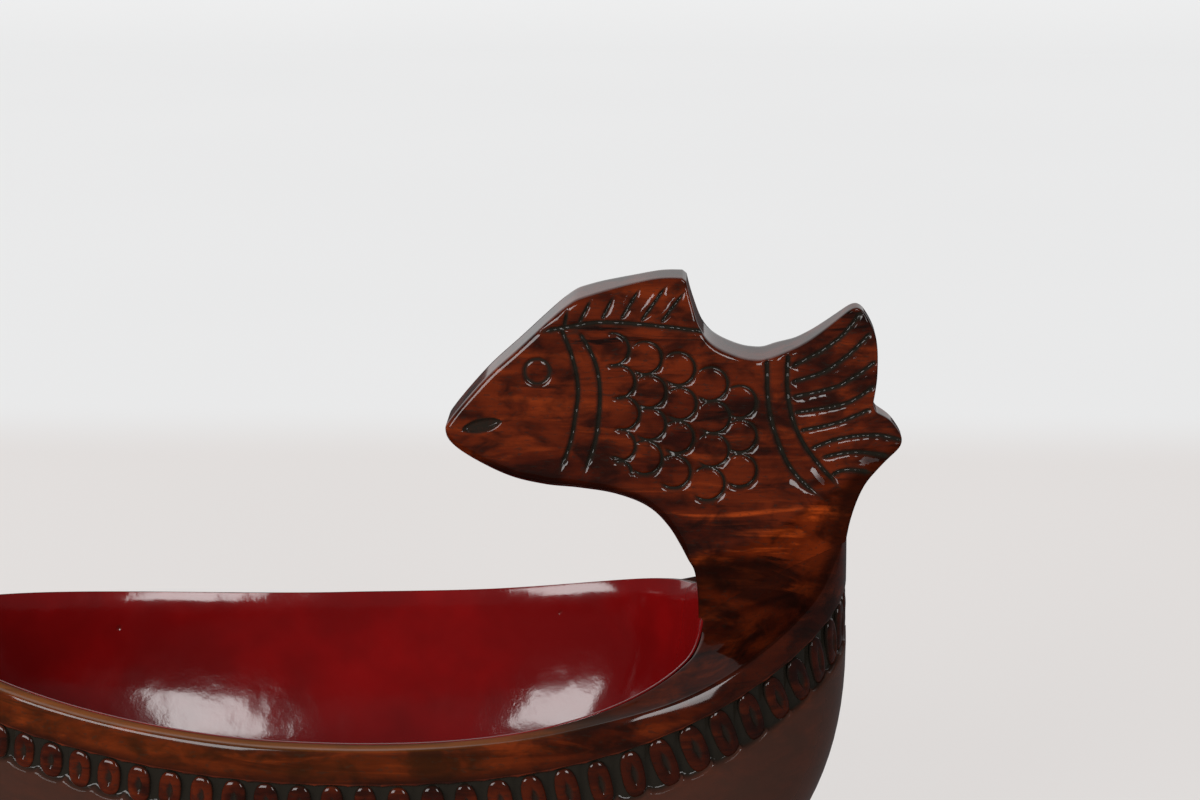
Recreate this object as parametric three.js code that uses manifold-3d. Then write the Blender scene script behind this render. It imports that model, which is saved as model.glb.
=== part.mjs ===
// A boat-shaped dish of dark varnished wood. Its rim sweeps up at both ends, its hollow is coated
// with red lacquer, and a flat carved fish stands on the wide shoulder at one end, looking back
// over the hollow. Lengths are millimetres. +Z is up, +X points to the end with the fish, and the
// origin is the centre of the flat foot on the table.

import * as THREE from 'three';
import { mergeVertices } from 'three/addons/utils/BufferGeometryUtils.js';
import Module from 'manifold-3d';

const wasm = await Module();
wasm.setup();

// Plan of the bowl at its widest level
const widestX = 15;
const rightLength = 135;
const leftLength = 160;
const bowlHalfWidth = 75.5;

// Roundness of the plan: 2 is an ellipse, and more is squarer
const rightRoundness = 2.6;
const hollowRightRoundness = 2.85;
const leftRoundnessAlong = 1.9;
const leftRoundnessAcross = 1.82;

// Wood left round the hollow, measured level with the rim
const sideWood = 8.5;
const leftTipWood = 10;
const shoulderLength = 43;

// Height of the rim: lowest near the middle, sweeping up to both tips
const rimLowestX = -15;
const rimLowHeight = 88;
const rightRimRise = 41.5;
const rightRimCurve = 2.9;
const leftRimRise = 16;
const leftRimCurve = 1.75;

// Top of the rim and shoulder: it falls outwards, steeply at first, to a soft edge inside the wall
const rimFallSlope = 0.35;
const rimFallMost = 6;
const rimEdgeInset = 4.5;
const neckEdgeInset = 0.6;
const stripSwell = 1.1;

// Section of the hull and of the hollow
const widestBelowBand = 1.8;
const wallLean = 0.02;
const hullRoundness = 2.4;
const hollowRoundness = 2.4;
const footShare = 0.46;
const footCentreX = 6;
const floorThickness = 12;

// Lip of the hollow: its wall runs in below the rim, steeply at first
const lipFlare = 2.2;
const lipDepth = 4.3;

// Carved band of beads below the rim, taller towards the fish
const bandTopBelowRim = 9.2;
const bandLeftHeight = 12;
const bandRightHeight = 19;
const bandDepth = 1.5;
const bandSlope = 1;
const beadCount = 76;
const beadHeightShare = 0.84;
const beadWidth = 7.2;
const beadTopShare = 0.72;
const beadRoot = 1.2;

// Red coat of the hollow
const lacquerThickness = 0.8;

// The fish is sawn from a board, and its neck flares into the shoulder
const fishThickness = 20;
const fishEdgeRadius = 1.4;
const flareRadius = 26;
const flareOverrun = 1;
const seatRise = 6;

// Tenon of the fish and its mortise in the shoulder
const tenonLength = 24;
const tenonThickness = 10;
const tenonDepth = 20;
const tenonRoot = 15;

// Gap kept between two pieces that touch
const touchGap = 0.3;

// Fineness of the surfaces
const sameCorner = 1e-4;
const segments = 96;
const hullRings = 8;
const stripRings = 4;
const ledgeRings = 6;
const hollowRings = 13;
const hollowCrowding = 2;
const flareStations = 16;
const flareSteps = 7;
const beadSides = 8;
const bandSteps = 1200;
const outlineSteps = 3;
const edgeSteps = 2;

// Outline of the fish, from the outer end of the bare shoulder: x along the dish, then height
const bellyLine = [
  [-45.6, -9.5], [-48.4, -4], [-54, 5.5], [-60.5, 11.8], [-70, 15.5],
  [-80.9, 17.2], [-91, 18.1], [-101, 20.4], [-110.6, 24.9], [-118.4, 30.3],
];
const nose = [-120.9, 35];
const headLine = [
  [-119, 39.2], [-109, 51], [-99.2, 60.2], [-85.2, 73.1], [-77.3, 77.1], [-59.6, 82.1],
];
const finCorner = [-49.6, 82.6];
const backLine = [
  [-47.6, 74.3], [-45.2, 67.1], [-41.7, 62.5], [-35.7, 59.3], [-29.8, 57.8], [-24, 58.5],
  [-12.6, 64.3],
];
const tailTip = [1.5, 75.8];
const upperLobeLine = [[6.6, 66.2], [7.5, 54]];
const tailNotch = [6.1, 42.9];
const lowerLobeLine = [[12, 39.6]];
const neckFootX = -0.8;
const lobeTip = [16.8, 33.3];
const neckLine = [[9.2, 25.6], [4.2, 19.4], [1, 11.8], [-0.4, 4.8]];

const woodRed = new THREE.MeshStandardMaterial({ color: 0x5a1d0e, roughness: 0.3, metalness: 0 });
const woodDark = new THREE.MeshStandardMaterial({ color: 0x3c1a12, roughness: 0.32, metalness: 0 });
const lacquerRed = new THREE.MeshStandardMaterial({ color: 0x760c15, roughness: 0.22, metalness: 0 });

// Sizes of the two plan outlines, measured from the widest place
const outerSize = {
  right: rightLength,
  left: leftLength,
  half: bowlHalfWidth,
  roundness: rightRoundness,
};
const hollowSize = {
  right: rightLength - shoulderLength,
  left: leftLength - leftTipWood,
  half: bowlHalfWidth - sideWood,
  roundness: hollowRightRoundness,
};

// Point of a plan outline at one angle, with the outline grown outwards
function planPoint(angle, size, grown) {
  const cos = Math.cos(angle);
  const sin = Math.sin(angle);
  const toRight = cos >= 0;
  const alongPower = 2 / (toRight ? size.roundness : leftRoundnessAlong);
  const acrossPower = 2 / (toRight ? size.roundness : leftRoundnessAcross);
  const length = (toRight ? size.right : size.left) + grown;
  return {
    x: Math.sign(cos) * length * Math.abs(cos) ** alongPower,
    y: Math.sign(sin) * (size.half + grown) * Math.abs(sin) ** acrossPower,
  };
}

// Ends of the dish and the level below the rim at which it is widest
const leftEndX = widestX - outerSize.left;
const rightEndX = widestX + outerSize.right;
const widestBelowRim = bandTopBelowRim + bandRightHeight + widestBelowBand;

// Height of the rim along the dish, without the flare of the neck
function rimHeight(x) {
  const toRight = x >= rimLowestX;
  const end = toRight ? rightEndX : leftEndX;
  const share = Math.abs((x - rimLowestX) / (end - rimLowestX));
  const rise = toRight ? rightRimRise : leftRimRise;
  return rimLowHeight + rise * share ** (toRight ? rightRimCurve : leftRimCurve);
}

// Height of the carved band along the dish
function bandHeight(x) {
  const share = (x - leftEndX) / (rightEndX - leftEndX);
  return THREE.MathUtils.lerp(bandLeftHeight, bandRightHeight, share);
}

// The seat of the fish is a flat, sloping cut just above the shoulder
const seatInnerX = widestX + hollowSize.right;
const seatOuterX = rightEndX;
const seatInnerZ = rimHeight(seatInnerX) + seatRise;
const seatOuterZ = rimHeight(seatOuterX) + seatRise;
const seatSlope = (seatOuterZ - seatInnerZ) / (seatOuterX - seatInnerX);

function seatHeight(x) {
  return seatInnerZ + (x - seatInnerX) * seatSlope;
}

// Height of the concave flare beside the neck, above the bare shoulder
function flareHeight(y) {
  const away = Math.max(0, Math.abs(y) - fishThickness / 2);
  if (away >= flareRadius) {
    return 0;
  }
  return flareRadius - Math.sqrt(flareRadius ** 2 - (flareRadius - away) ** 2);
}

// Distance of the flare from the neck's face, at a height above the bare shoulder
function flareReach(height) {
  const left = Math.max(0, flareRadius - height);
  return flareRadius - Math.sqrt(flareRadius ** 2 - left ** 2);
}

// Top of the rim and shoulder at a distance from the hollow, cut flat where the fish is seated
function topHeight(x, y, away) {
  const fall = rimFallMost * (1 - Math.exp((-rimFallSlope * away) / rimFallMost));
  const bare = rimHeight(x) - fall * (1 - THREE.MathUtils.smoothstep(x, seatInnerX, seatOuterX));
  if (x < seatInnerX - flareRadius) {
    return bare;
  }
  const flare = flareHeight(y) * THREE.MathUtils.smoothstep(x, seatInnerX - flareRadius, seatInnerX);
  return Math.min(bare + flare, Math.max(bare, seatHeight(x)));
}

// A closed mesh from rings of points, each ring a function of the angle, the ends on the axis
function ringsGeometry(rings) {
  const profile = rings.map((ring, row) => new THREE.Vector2(1, row));
  const geometry = new THREE.LatheGeometry(profile, segments);
  const position = geometry.attributes.position;
  for (let turn = 0; turn <= segments; turn += 1) {
    const angle = (2 * Math.PI * (turn % segments)) / segments;
    rings.forEach((ring, row) => {
      const [x, y, z] = ring(angle);
      position.setXYZ(turn * rings.length + row, x, y, z);
    });
  }
  return geometry;
}

// A solid for cutting and joining, with shared corners merged and empty triangles left out
function toSolid(geometry) {
  const bare = geometry.clone();
  bare.deleteAttribute('normal');
  bare.deleteAttribute('uv');
  const merged = mergeVertices(bare, sameCorner);
  const corners = merged.index.array;
  const kept = [];
  for (let i = 0; i < corners.length; i += 3) {
    const [a, b, c] = [corners[i], corners[i + 1], corners[i + 2]];
    if (a !== b && b !== c && c !== a) {
      kept.push(a, b, c);
    }
  }
  const mesh = new wasm.Mesh({
    numProp: 3,
    vertProperties: new Float32Array(merged.attributes.position.array),
    triVerts: new Uint32Array(kept),
  });
  return new wasm.Manifold(mesh);
}

function toGeometry(solid) {
  const mesh = solid.getMesh();
  const geometry = new THREE.BufferGeometry();
  geometry.setAttribute('position', new THREE.BufferAttribute(mesh.vertProperties, 3));
  geometry.setIndex(new THREE.BufferAttribute(mesh.triVerts, 1));
  geometry.computeVertexNormals();
  return geometry;
}

// Hull ring at a turn from the foot (0) to the widest level (1)
function hullRing(turn) {
  const start = Math.asin(footShare ** (hullRoundness / 2));
  const bend = start + (Math.PI / 2 - start) * turn;
  const share = Math.sin(bend) ** (2 / hullRoundness);
  const drop = Math.cos(bend) ** (2 / hullRoundness);
  const fullDrop = Math.cos(start) ** (2 / hullRoundness);
  const centre = footCentreX + ((widestX - footCentreX) * (share - footShare)) / (1 - footShare);
  return (angle) => {
    const plan = planPoint(angle, outerSize, 0);
    const widestZ = rimHeight(widestX + plan.x) - widestBelowRim;
    return [centre + share * plan.x, share * plan.y, widestZ * (1 - drop / fullDrop)];
  };
}

// Ring on the outer wall, from the band's top (0) to its foot (1), shifted down and cut in
function wallRing(share, shift, depth) {
  return (angle) => {
    const wall = planPoint(angle, outerSize, 0);
    const belowRim = bandTopBelowRim + share * bandHeight(widestX + wall.x) + shift;
    const lean = wallLean * (widestBelowRim - belowRim);
    const plan = planPoint(angle, outerSize, -lean - depth);
    const x = widestX + plan.x;
    return [x, plan.y, rimHeight(x) - belowRim];
  };
}

// Inset of the soft outer edge, which runs out flush with the wall where the neck stands on it
function edgeInset(angle) {
  const plan = planPoint(angle, outerSize, 0);
  if (plan.x < 0) {
    return rimEdgeInset;
  }
  const neck = fishThickness / 2;
  const beside = THREE.MathUtils.smoothstep(Math.abs(plan.y), neck, neck + flareRadius);
  return THREE.MathUtils.lerp(neckEdgeInset, rimEdgeInset, beside);
}

// Ring on the top of the rim and shoulder, from its outer edge (0) to the hollow (1)
function ledgeRing(share, grown) {
  return (angle) => {
    const outer = planPoint(angle, outerSize, -edgeInset(angle));
    const inner = planPoint(angle, hollowSize, grown);
    const x = widestX + THREE.MathUtils.lerp(outer.x, inner.x, share);
    const y = THREE.MathUtils.lerp(outer.y, inner.y, share);
    const away = (1 - share) * Math.hypot(outer.x - inner.x, outer.y - inner.y);
    return [x, y, topHeight(x, y, away)];
  };
}

// Ring on the plain strip between the band (0) and the outer edge of the rim's top (1)
function stripRing(share) {
  const low = wallRing(0, 0, 0);
  const high = ledgeRing(0, 0);
  return (angle) => {
    const swell = (Math.sin(Math.PI * share) * stripSwell * edgeInset(angle)) / rimEdgeInset;
    const from = low(angle);
    const to = high(angle);
    const [x, y, z] = from.map((value, i) => THREE.MathUtils.lerp(value, to[i], share));
    return [x + Math.cos(angle) * swell, y + Math.sin(angle) * swell, z];
  };
}

// Turns of the hollow's rings, set closer together towards the rim
const hollowTurns = range(hollowRings).map((i) => (i / hollowRings) ** hollowCrowding);

// Ring on the wall of the hollow, from the rim (0) to the middle of its floor (1)
function hollowRing(turn, grown) {
  const bend = (Math.PI / 2) * turn;
  const share = Math.cos(bend) ** (2 / hollowRoundness);
  const drop = Math.sin(bend) ** (2 / hollowRoundness);
  const centre = footCentreX + (widestX - footCentreX) * share;
  return (angle) => {
    const edge = planPoint(angle, hollowSize, grown);
    const edgeZ = topHeight(widestX + edge.x, edge.y, 0);
    const floorZ = floorThickness + lacquerThickness + touchGap - grown;
    const below = (edgeZ - floorZ) * drop;
    const lip = lipFlare * (1 - Math.exp(-below / lipDepth));
    const plan = planPoint(angle, hollowSize, grown - lip);
    return [centre + share * plan.x, share * plan.y, edgeZ - below];
  };
}

function axisPoint(height) {
  return () => [footCentreX, 0, height];
}

function range(count) {
  return Array.from({ length: count }, (unused, i) => i);
}

function bowlRings() {
  const grown = lacquerThickness + touchGap;
  return [
    axisPoint(0),
    ...range(hullRings + 1).map((i) => hullRing(i / hullRings)),
    wallRing(1, 0, 0),
    wallRing(1, -bandSlope, bandDepth),
    wallRing(0, bandSlope, bandDepth),
    ...range(stripRings).map((i) => stripRing(i / stripRings)),
    ...range(ledgeRings + 1).map((i) => ledgeRing(i / ledgeRings, grown)),
    ...hollowTurns.slice(1).map((turn) => hollowRing(turn, grown)),
    axisPoint(floorThickness),
  ];
}

// The carved beads: flat ovals at even steps along the middle of the band, square to the wall
function beadSolids() {
  const ring = wallRing(1 / 2, 0, bandDepth);
  const turns = range(bandSteps).map((i) => (2 * Math.PI * i) / bandSteps);
  const path = turns.map((angle) => new THREE.Vector3(...ring(angle)));
  const curve = new THREE.CatmullRomCurve3(path, true, 'centripetal');
  curve.arcLengthDivisions = bandSteps;
  const topRadius = (beadTopShare * beadWidth) / 2;
  const length = bandDepth + beadRoot;
  const oval = new THREE.CylinderGeometry(topRadius, beadWidth / 2, length, beadSides);
  oval.rotateX(Math.PI / 2);
  oval.translate(0, 0, (bandDepth - beadRoot) / 2);
  return range(beadCount).map((i) => {
    const spot = curve.getPointAt(i / beadCount);
    const stretch = (beadHeightShare * bandHeight(spot.x)) / beadWidth;
    const along = curve.getTangentAt(i / beadCount);
    const outward = new THREE.Vector3(along.y, -along.x, 0).normalize();
    const upward = new THREE.Vector3().crossVectors(outward, along);
    const place = new THREE.Matrix4().makeBasis(along, upward, outward).setPosition(spot);
    return toSolid(oval.clone().scale(1, stretch, 1).applyMatrix4(place));
  });
}

// Block along Y from one outline in the X-Z plane
function plate(shape, thickness, bevel) {
  const geometry = new THREE.ExtrudeGeometry(shape, {
    depth: thickness - 2 * bevel,
    curveSegments: outlineSteps,
    bevelEnabled: bevel > 0,
    bevelThickness: bevel,
    bevelSize: bevel,
    bevelOffset: -bevel,
    bevelSegments: edgeSteps,
  });
  geometry.translate(0, 0, bevel - thickness / 2);
  geometry.rotateX(Math.PI / 2);
  return toSolid(geometry);
}

function fishShape() {
  const origin = new THREE.Vector2(seatOuterX, rimHeight(seatOuterX));
  const at = ([x, z]) => new THREE.Vector2(x, z).add(origin);
  const footDrop = seatRise + fishEdgeRadius;
  const shape = new THREE.Shape();
  shape.moveTo(seatInnerX, seatInnerZ - footDrop);
  shape.splineThru([...bellyLine, nose, ...headLine, finCorner].map(at));
  shape.splineThru([...backLine, tailTip].map(at));
  shape.splineThru([...upperLobeLine, tailNotch].map(at));
  shape.splineThru([...lowerLobeLine, lobeTip].map(at));
  shape.splineThru([...neckLine, [neckFootX, -fishEdgeRadius]].map(at));
  shape.closePath();
  return shape;
}

// Everything below the seat, as a block to take away
function belowSeat(clearance) {
  const reach = shoulderLength * 2;
  const low = seatInnerZ - reach;
  const shape = new THREE.Shape();
  shape.moveTo(seatInnerX - reach, low);
  shape.lineTo(seatOuterX + reach, low);
  shape.lineTo(seatOuterX + reach, seatHeight(seatOuterX + reach) + clearance);
  shape.lineTo(seatInnerX - reach, seatHeight(seatInnerX - reach) + clearance);
  shape.closePath();
  return plate(shape, 4 * bowlHalfWidth, 0);
}

// Upright prism over the shoulder, between the hollow and the outer wall
function shoulderPrism() {
  const turns = range(segments).map((i) => (2 * Math.PI * i) / segments);
  const outline = (size, grown) => turns.map((angle) => {
    const plan = planPoint(angle, size, grown);
    return new THREE.Vector2(widestX + plan.x, plan.y);
  });
  const shape = new THREE.Shape(outline(outerSize, -neckEdgeInset));
  shape.holes.push(new THREE.Path(outline(hollowSize, 0)));
  const depth = seatOuterZ + flareRadius;
  return toSolid(new THREE.ExtrudeGeometry(shape, { depth, bevelEnabled: false }));
}

// The neck's flare above the seat: sections across the dish, closed inside the board
function flareSolid() {
  const sections = range(flareStations + 1).map((i) => {
    const end = seatOuterX + flareOverrun;
    const x = THREE.MathUtils.lerp(seatInnerX - flareRadius, end, i / flareStations);
    const bare = rimHeight(Math.min(x, seatOuterX));
    const seat = Math.max(seatHeight(x), bare);
    const side = range(flareSteps + 1).map((step) => {
      const height = THREE.MathUtils.lerp(seat - bare, flareRadius, step / flareSteps);
      return [fishThickness / 2 + flareReach(height), bare + height];
    });
    side.push([fishThickness / 4, bare + flareRadius]);
    const other = side.map(([y, z]) => [-y, z]).reverse();
    return [...side, ...other].map(([y, z]) => new THREE.Vector3(x, y, z));
  });
  return stitched(sections);
}

// Closed mesh through sections of equally many points, with fans as its two ends
function stitched(sections) {
  const size = sections[0].length;
  const corners = [];
  for (let i = 0; i + 1 < sections.length; i += 1) {
    for (let j = 0; j < size; j += 1) {
      const next = (j + 1) % size;
      const [a, b] = [sections[i][j], sections[i][next]];
      const [c, d] = [sections[i + 1][next], sections[i + 1][j]];
      corners.push(a, b, c, a, c, d);
    }
  }
  const half = size / 2;
  const last = sections[sections.length - 1];
  for (let j = 0; j + 1 < half; j += 1) {
    const mirror = size - 1 - j;
    for (const [end, flip] of [[sections[0], false], [last, true]]) {
      const quad = [end[j], end[j + 1], end[mirror - 1], end[mirror]];
      const order = flip ? [0, 1, 2, 0, 2, 3] : [0, 2, 1, 0, 3, 2];
      corners.push(...order.map((k) => quad[k]));
    }
  }
  return toSolid(new THREE.BufferGeometry().setFromPoints(corners));
}

// Block of the tenon, or of its mortise when a clearance is given
function tenonBlock(clearance) {
  const middle = (seatInnerX + seatOuterX) / 2;
  const top = seatHeight(middle) + tenonRoot;
  const bottom = seatHeight(middle) - tenonDepth - clearance;
  const box = new THREE.BoxGeometry(
    tenonLength + 2 * clearance,
    tenonThickness + 2 * clearance,
    top - bottom,
  );
  box.translate(middle, 0, (top + bottom) / 2);
  return toSolid(box);
}

function bowlBody() {
  let solid = toSolid(ringsGeometry(bowlRings()));
  for (const bead of beadSolids()) {
    solid = solid.add(bead);
  }
  return solid.subtract(tenonBlock(touchGap));
}

function lacquerLining() {
  const rings = [
    axisPoint(floorThickness + touchGap),
    ...hollowTurns.toReversed().map((turn) => hollowRing(turn, lacquerThickness)),
    ...hollowTurns.map((turn) => hollowRing(turn, 0)),
    axisPoint(floorThickness + touchGap + lacquerThickness),
  ];
  return toSolid(ringsGeometry(rings));
}

function fishHandle() {
  const fish = plate(fishShape(), fishThickness, fishEdgeRadius);
  const flare = flareSolid().intersect(shoulderPrism());
  return fish.add(flare).subtract(belowSeat(touchGap)).add(tenonBlock(0));
}

function node(name, solid, material) {
  const mesh = new THREE.Mesh(toGeometry(solid), material);
  mesh.name = name;
  return mesh;
}

const dish = new THREE.Group();
dish.name = 'fish_dish';
dish.add(node('bowl_body', bowlBody(), woodDark));
dish.add(node('lacquer_lining', lacquerLining(), lacquerRed));
dish.add(node('fish_handle', fishHandle(), woodRed));

export default dish;
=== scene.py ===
# %% [markdown]
# # A carved dish with a fish for a handle
#
# The real dish is a deep boat-shaped bowl of dark varnished wood. A band of beads runs below its
# rim, its hollow is coated with red lacquer, and a flat fish stands on the wide shoulder at one
# end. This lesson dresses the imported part: it takes the plain solids as the frame, and gives each
# one the carved surface and the finish that the real one has. Lengths here are in millimetres, as
# a carver measures them, and a mesh is scaled to metres when it is made.

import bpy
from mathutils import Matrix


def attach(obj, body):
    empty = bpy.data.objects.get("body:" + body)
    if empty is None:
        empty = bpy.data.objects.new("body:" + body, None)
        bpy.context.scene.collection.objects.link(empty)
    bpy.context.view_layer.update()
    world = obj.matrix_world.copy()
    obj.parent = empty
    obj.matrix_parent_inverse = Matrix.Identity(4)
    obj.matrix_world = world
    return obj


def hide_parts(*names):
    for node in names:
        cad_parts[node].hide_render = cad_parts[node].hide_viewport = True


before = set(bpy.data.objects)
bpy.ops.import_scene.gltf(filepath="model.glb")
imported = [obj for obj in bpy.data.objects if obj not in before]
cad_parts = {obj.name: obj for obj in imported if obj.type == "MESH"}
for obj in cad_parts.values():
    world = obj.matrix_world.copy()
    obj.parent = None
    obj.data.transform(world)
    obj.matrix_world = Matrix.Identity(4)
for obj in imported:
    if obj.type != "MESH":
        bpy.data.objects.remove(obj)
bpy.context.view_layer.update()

# %% The tools of this lesson
import math

import bpy
import numpy as np
from mathutils import Vector
from mathutils.geometry import delaunay_2d_cdt
from mathutils.kdtree import KDTree

MM = 0.001


def in_scene(name, data):
    """A new object of the scene for some data, standing at the frame's own zero."""
    made = bpy.data.objects.new(name, data)
    bpy.context.scene.collection.objects.link(made)
    return made


def stand_back(made, middle, turn, rise, distance):
    """Sets a camera or a lamp at a distance from a point, at two angles, and facing it."""
    back = Vector((
        math.sin(turn) * math.cos(rise),
        -math.cos(turn) * math.cos(rise),
        math.sin(rise),
    ))
    made.location = middle + back * distance
    made.rotation_euler = back.to_track_quat("Z", "Y").to_euler()


# %% [markdown]
# ## The camera
#
# A picture of a small object on a table is taken with a long lens from a little above. The camera
# is placed by the point that it looks at, two angles and a distance, so that each can be read.

# %% Camera
CAMERA_TARGET = Vector((75, 0, 172.3)) * MM
CAMERA_TURN = math.radians(2)
CAMERA_RISE = math.radians(15)
CAMERA_DISTANCE = 840 * MM
CAMERA_LENS = 84

camera = in_scene("camera", bpy.data.cameras.new("camera"))
bpy.context.scene.camera = camera
camera.data.lens = CAMERA_LENS
camera.data.sensor_width = 36
camera.data.clip_start = 0.01
stand_back(camera, CAMERA_TARGET, CAMERA_TURN, CAMERA_RISE, CAMERA_DISTANCE)
print("the camera stands at", tuple(round(v, 4) for v in camera.location))

# %% [markdown]
# ## The sizes of the dish
#
# Most of these are the driving sizes of the solids, written again because the looks have to lie on
# the same surfaces. Others are a carver's liberties: how far the rim's edge turns in, and how much
# the strip below it swells. The plan of the bowl is a superellipse: 2 is an ellipse, and more is
# squarer.

# %% Sizes
WIDEST_X = 15
RIGHT_ROUNDNESS = 2.6
HOLLOW_RIGHT_ROUNDNESS = 2.85
LEFT_ALONG = 1.9
LEFT_ACROSS = 1.82
OUTER = {"right": 135, "left": 160, "half": 75.5, "roundness": RIGHT_ROUNDNESS}
HOLLOW = {"right": 92, "left": 150, "half": 67, "roundness": HOLLOW_RIGHT_ROUNDNESS}

RIM_LOWEST_X = -15
RIM_LOW = 88
RIGHT_RIM_RISE = 41.5
RIGHT_RIM_CURVE = 2.9
LEFT_RIM_RISE = 16
LEFT_RIM_CURVE = 1.75
RIM_FALL_SLOPE = 0.35
RIM_FALL_MOST = 6
RIM_TURN_INSET = 2.3
NECK_EDGE_INSET = 0.6
STRIP_SWELL = 0.0611

WIDEST_BELOW_BAND = 1.8
WALL_LEAN = 0.02
HULL_ROUNDNESS = 2.4
HOLLOW_ROUNDNESS = 2.4
FOOT_SHARE = 0.46
FOOT_CENTRE_X = 6
FLOOR = 12
LIP_FLARE = 2.2
LIP_DEPTH = 4.3

BAND_TOP = 9.2
BAND_LEFT_HEIGHT = 12
BAND_RIGHT_HEIGHT = 19
BAND_DEPTH = 1.5
BEADS = 76
BEAD_HEIGHT_SHARE = 0.84
BEAD_WIDTH = 7.2

LACQUER = 0.8
FISH_HALF = 10
FLARE_RADIUS = 26
SEAT_RISE = 6

SEAT_IN_X = WIDEST_X + HOLLOW["right"]
SEAT_OUT_X = WIDEST_X + OUTER["right"]
LEFT_END_X = WIDEST_X - OUTER["left"]
WIDEST_BELOW_RIM = BAND_TOP + BAND_RIGHT_HEIGHT + WIDEST_BELOW_BAND

# %% [markdown]
# ## The surfaces that all pieces share
#
# The bowl, the lining and the neck of the fish meet on common surfaces. Each surface is one small
# function on arrays, so a whole ring of points is worked out at once.

# %% Common surfaces


def smoothstep(x, low, high):
    """0 below the low edge, 1 above the high one, and a smooth rise between them."""
    t = np.clip((x - low) / (high - low), 0, 1)
    return t * t * (3 - 2 * t)


def mix(a, b, share):
    """The value a share of the way from a to b."""
    return a + (b - a) * share


def plan_point(turn, size, grown=0.0):
    """Points of a plan outline at these turns, measured from the widest place."""
    cos, sin = np.cos(turn), np.sin(turn)
    n = size["roundness"]
    stretch = (np.abs(cos) ** n + np.abs(sin) ** n) ** (-1 / n)
    half = size["half"] + grown
    x_left = -(size["left"] + grown) * np.abs(cos) ** (2 / LEFT_ALONG)
    y_left = half * np.sign(sin) * np.abs(sin) ** (2 / LEFT_ACROSS)
    x = np.where(cos >= 0, (size["right"] + grown) * cos * stretch, x_left)
    return x, np.where(cos >= 0, half * sin * stretch, y_left)


def outline_x(y, size, grown=0.0):
    """The right-hand x of a plan outline, measured from the widest place."""
    n = size["roundness"]
    share = np.clip(np.abs(y) / (size["half"] + grown), 0, 1)
    return (size["right"] + grown) * (1 - share ** n) ** (1 / n)


def rim_height(x):
    """The line of the rim, which rises from its lowest place to both ends."""
    right = x >= RIM_LOWEST_X
    end = np.where(right, SEAT_OUT_X, LEFT_END_X)
    share = np.abs((x - RIM_LOWEST_X) / (end - RIM_LOWEST_X))
    rise = np.where(right, RIGHT_RIM_RISE, LEFT_RIM_RISE)
    return RIM_LOW + rise * share ** np.where(right, RIGHT_RIM_CURVE, LEFT_RIM_CURVE)


def band_height(x):
    """The carved band is taller towards the fish."""
    return mix(BAND_LEFT_HEIGHT, BAND_RIGHT_HEIGHT, (x - LEFT_END_X) / (SEAT_OUT_X - LEFT_END_X))


SEAT_IN_Z = float(rim_height(SEAT_IN_X)) + SEAT_RISE
SEAT_OUT_Z = float(rim_height(SEAT_OUT_X)) + SEAT_RISE
SEAT_SLOPE = (SEAT_OUT_Z - SEAT_IN_Z) / (SEAT_OUT_X - SEAT_IN_X)


def seat_height(x):
    """The flat sloping seat that the fish stands on."""
    return SEAT_IN_Z + (x - SEAT_IN_X) * SEAT_SLOPE


def bare_height(x, away, fallen=1.0):
    """The top of the rim at a distance from the hollow, with a share of its outward fall."""
    fall = fallen * RIM_FALL_MOST * (1 - np.exp(-RIM_FALL_SLOPE * away / RIM_FALL_MOST))
    return rim_height(x) - fall * (1 - smoothstep(x, SEAT_IN_X, SEAT_OUT_X))


def flare_height(y):
    """How far the neck's flare has risen at a distance from the middle of the board."""
    away = np.clip(np.abs(y) - FISH_HALF, 0, FLARE_RADIUS)
    return FLARE_RADIUS - np.sqrt(FLARE_RADIUS ** 2 - (FLARE_RADIUS - away) ** 2)


def flare_reach(height):
    """How far the neck's flare still reaches out at a height above the shoulder."""
    left = np.clip(FLARE_RADIUS - height, 0, FLARE_RADIUS)
    return FLARE_RADIUS - np.sqrt(FLARE_RADIUS ** 2 - left ** 2)


def seam_half(x):
    """Half the width of the neck's foot, where its flare meets the sloping seat."""
    bare = bare_height(x, np.maximum(x - SEAT_IN_X, 0))
    return FISH_HALF + flare_reach(seat_height(x) - bare)


SEAM_END = float(FISH_HALF + flare_reach(SEAT_RISE))
print("the neck's foot is", round(2 * SEAM_END, 1), "mm wide at both ends")

# %% [markdown]
# ## Making a mesh
#
# A carved piece is a closed skin of points and faces. A small function turns arrays of points in
# millimetres into a mesh object in metres, smooth apart from the edges that are named as sharp.

# %% Mesh maker


def shown(name, mesh):
    """Puts a mesh into the scene as an object of the same name."""
    print(name, "has", len(mesh.vertices), "points and", len(mesh.polygons), "faces")
    return in_scene(name, mesh)


def make_mesh(name, points, faces, material, sharp=(), layers=None):
    """A mesh object from points in millimetres, with its numbers for each point as attributes."""
    mesh = bpy.data.meshes.new(name)
    mesh.from_pydata((np.asarray(points) * MM).tolist(), [], faces)
    mesh.shade_smooth()
    for key, values in (layers or {}).items():
        layer = mesh.attributes.new(key, "FLOAT", "POINT")
        layer.data.foreach_set("value", np.asarray(values, np.float32))
    marked = {tuple(sorted(pair)) for pair in sharp}
    if marked:
        for edge in mesh.edges:
            if tuple(sorted(edge.vertices)) in marked:
                edge.use_edge_sharp = True
    mesh.materials.append(material)
    return shown(name, mesh)


# %% [markdown]
# ## Writing node maths as Python
#
# Materials and Geometry Nodes are both trees of small nodes. This class wraps one output and
# gives it Python's operators, so that a formula reads as a formula and its nodes come behind it.
# Three helpers go with it: smooth noise, a number that the mesh carries, and a round spot.

# %% The wire class


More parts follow.
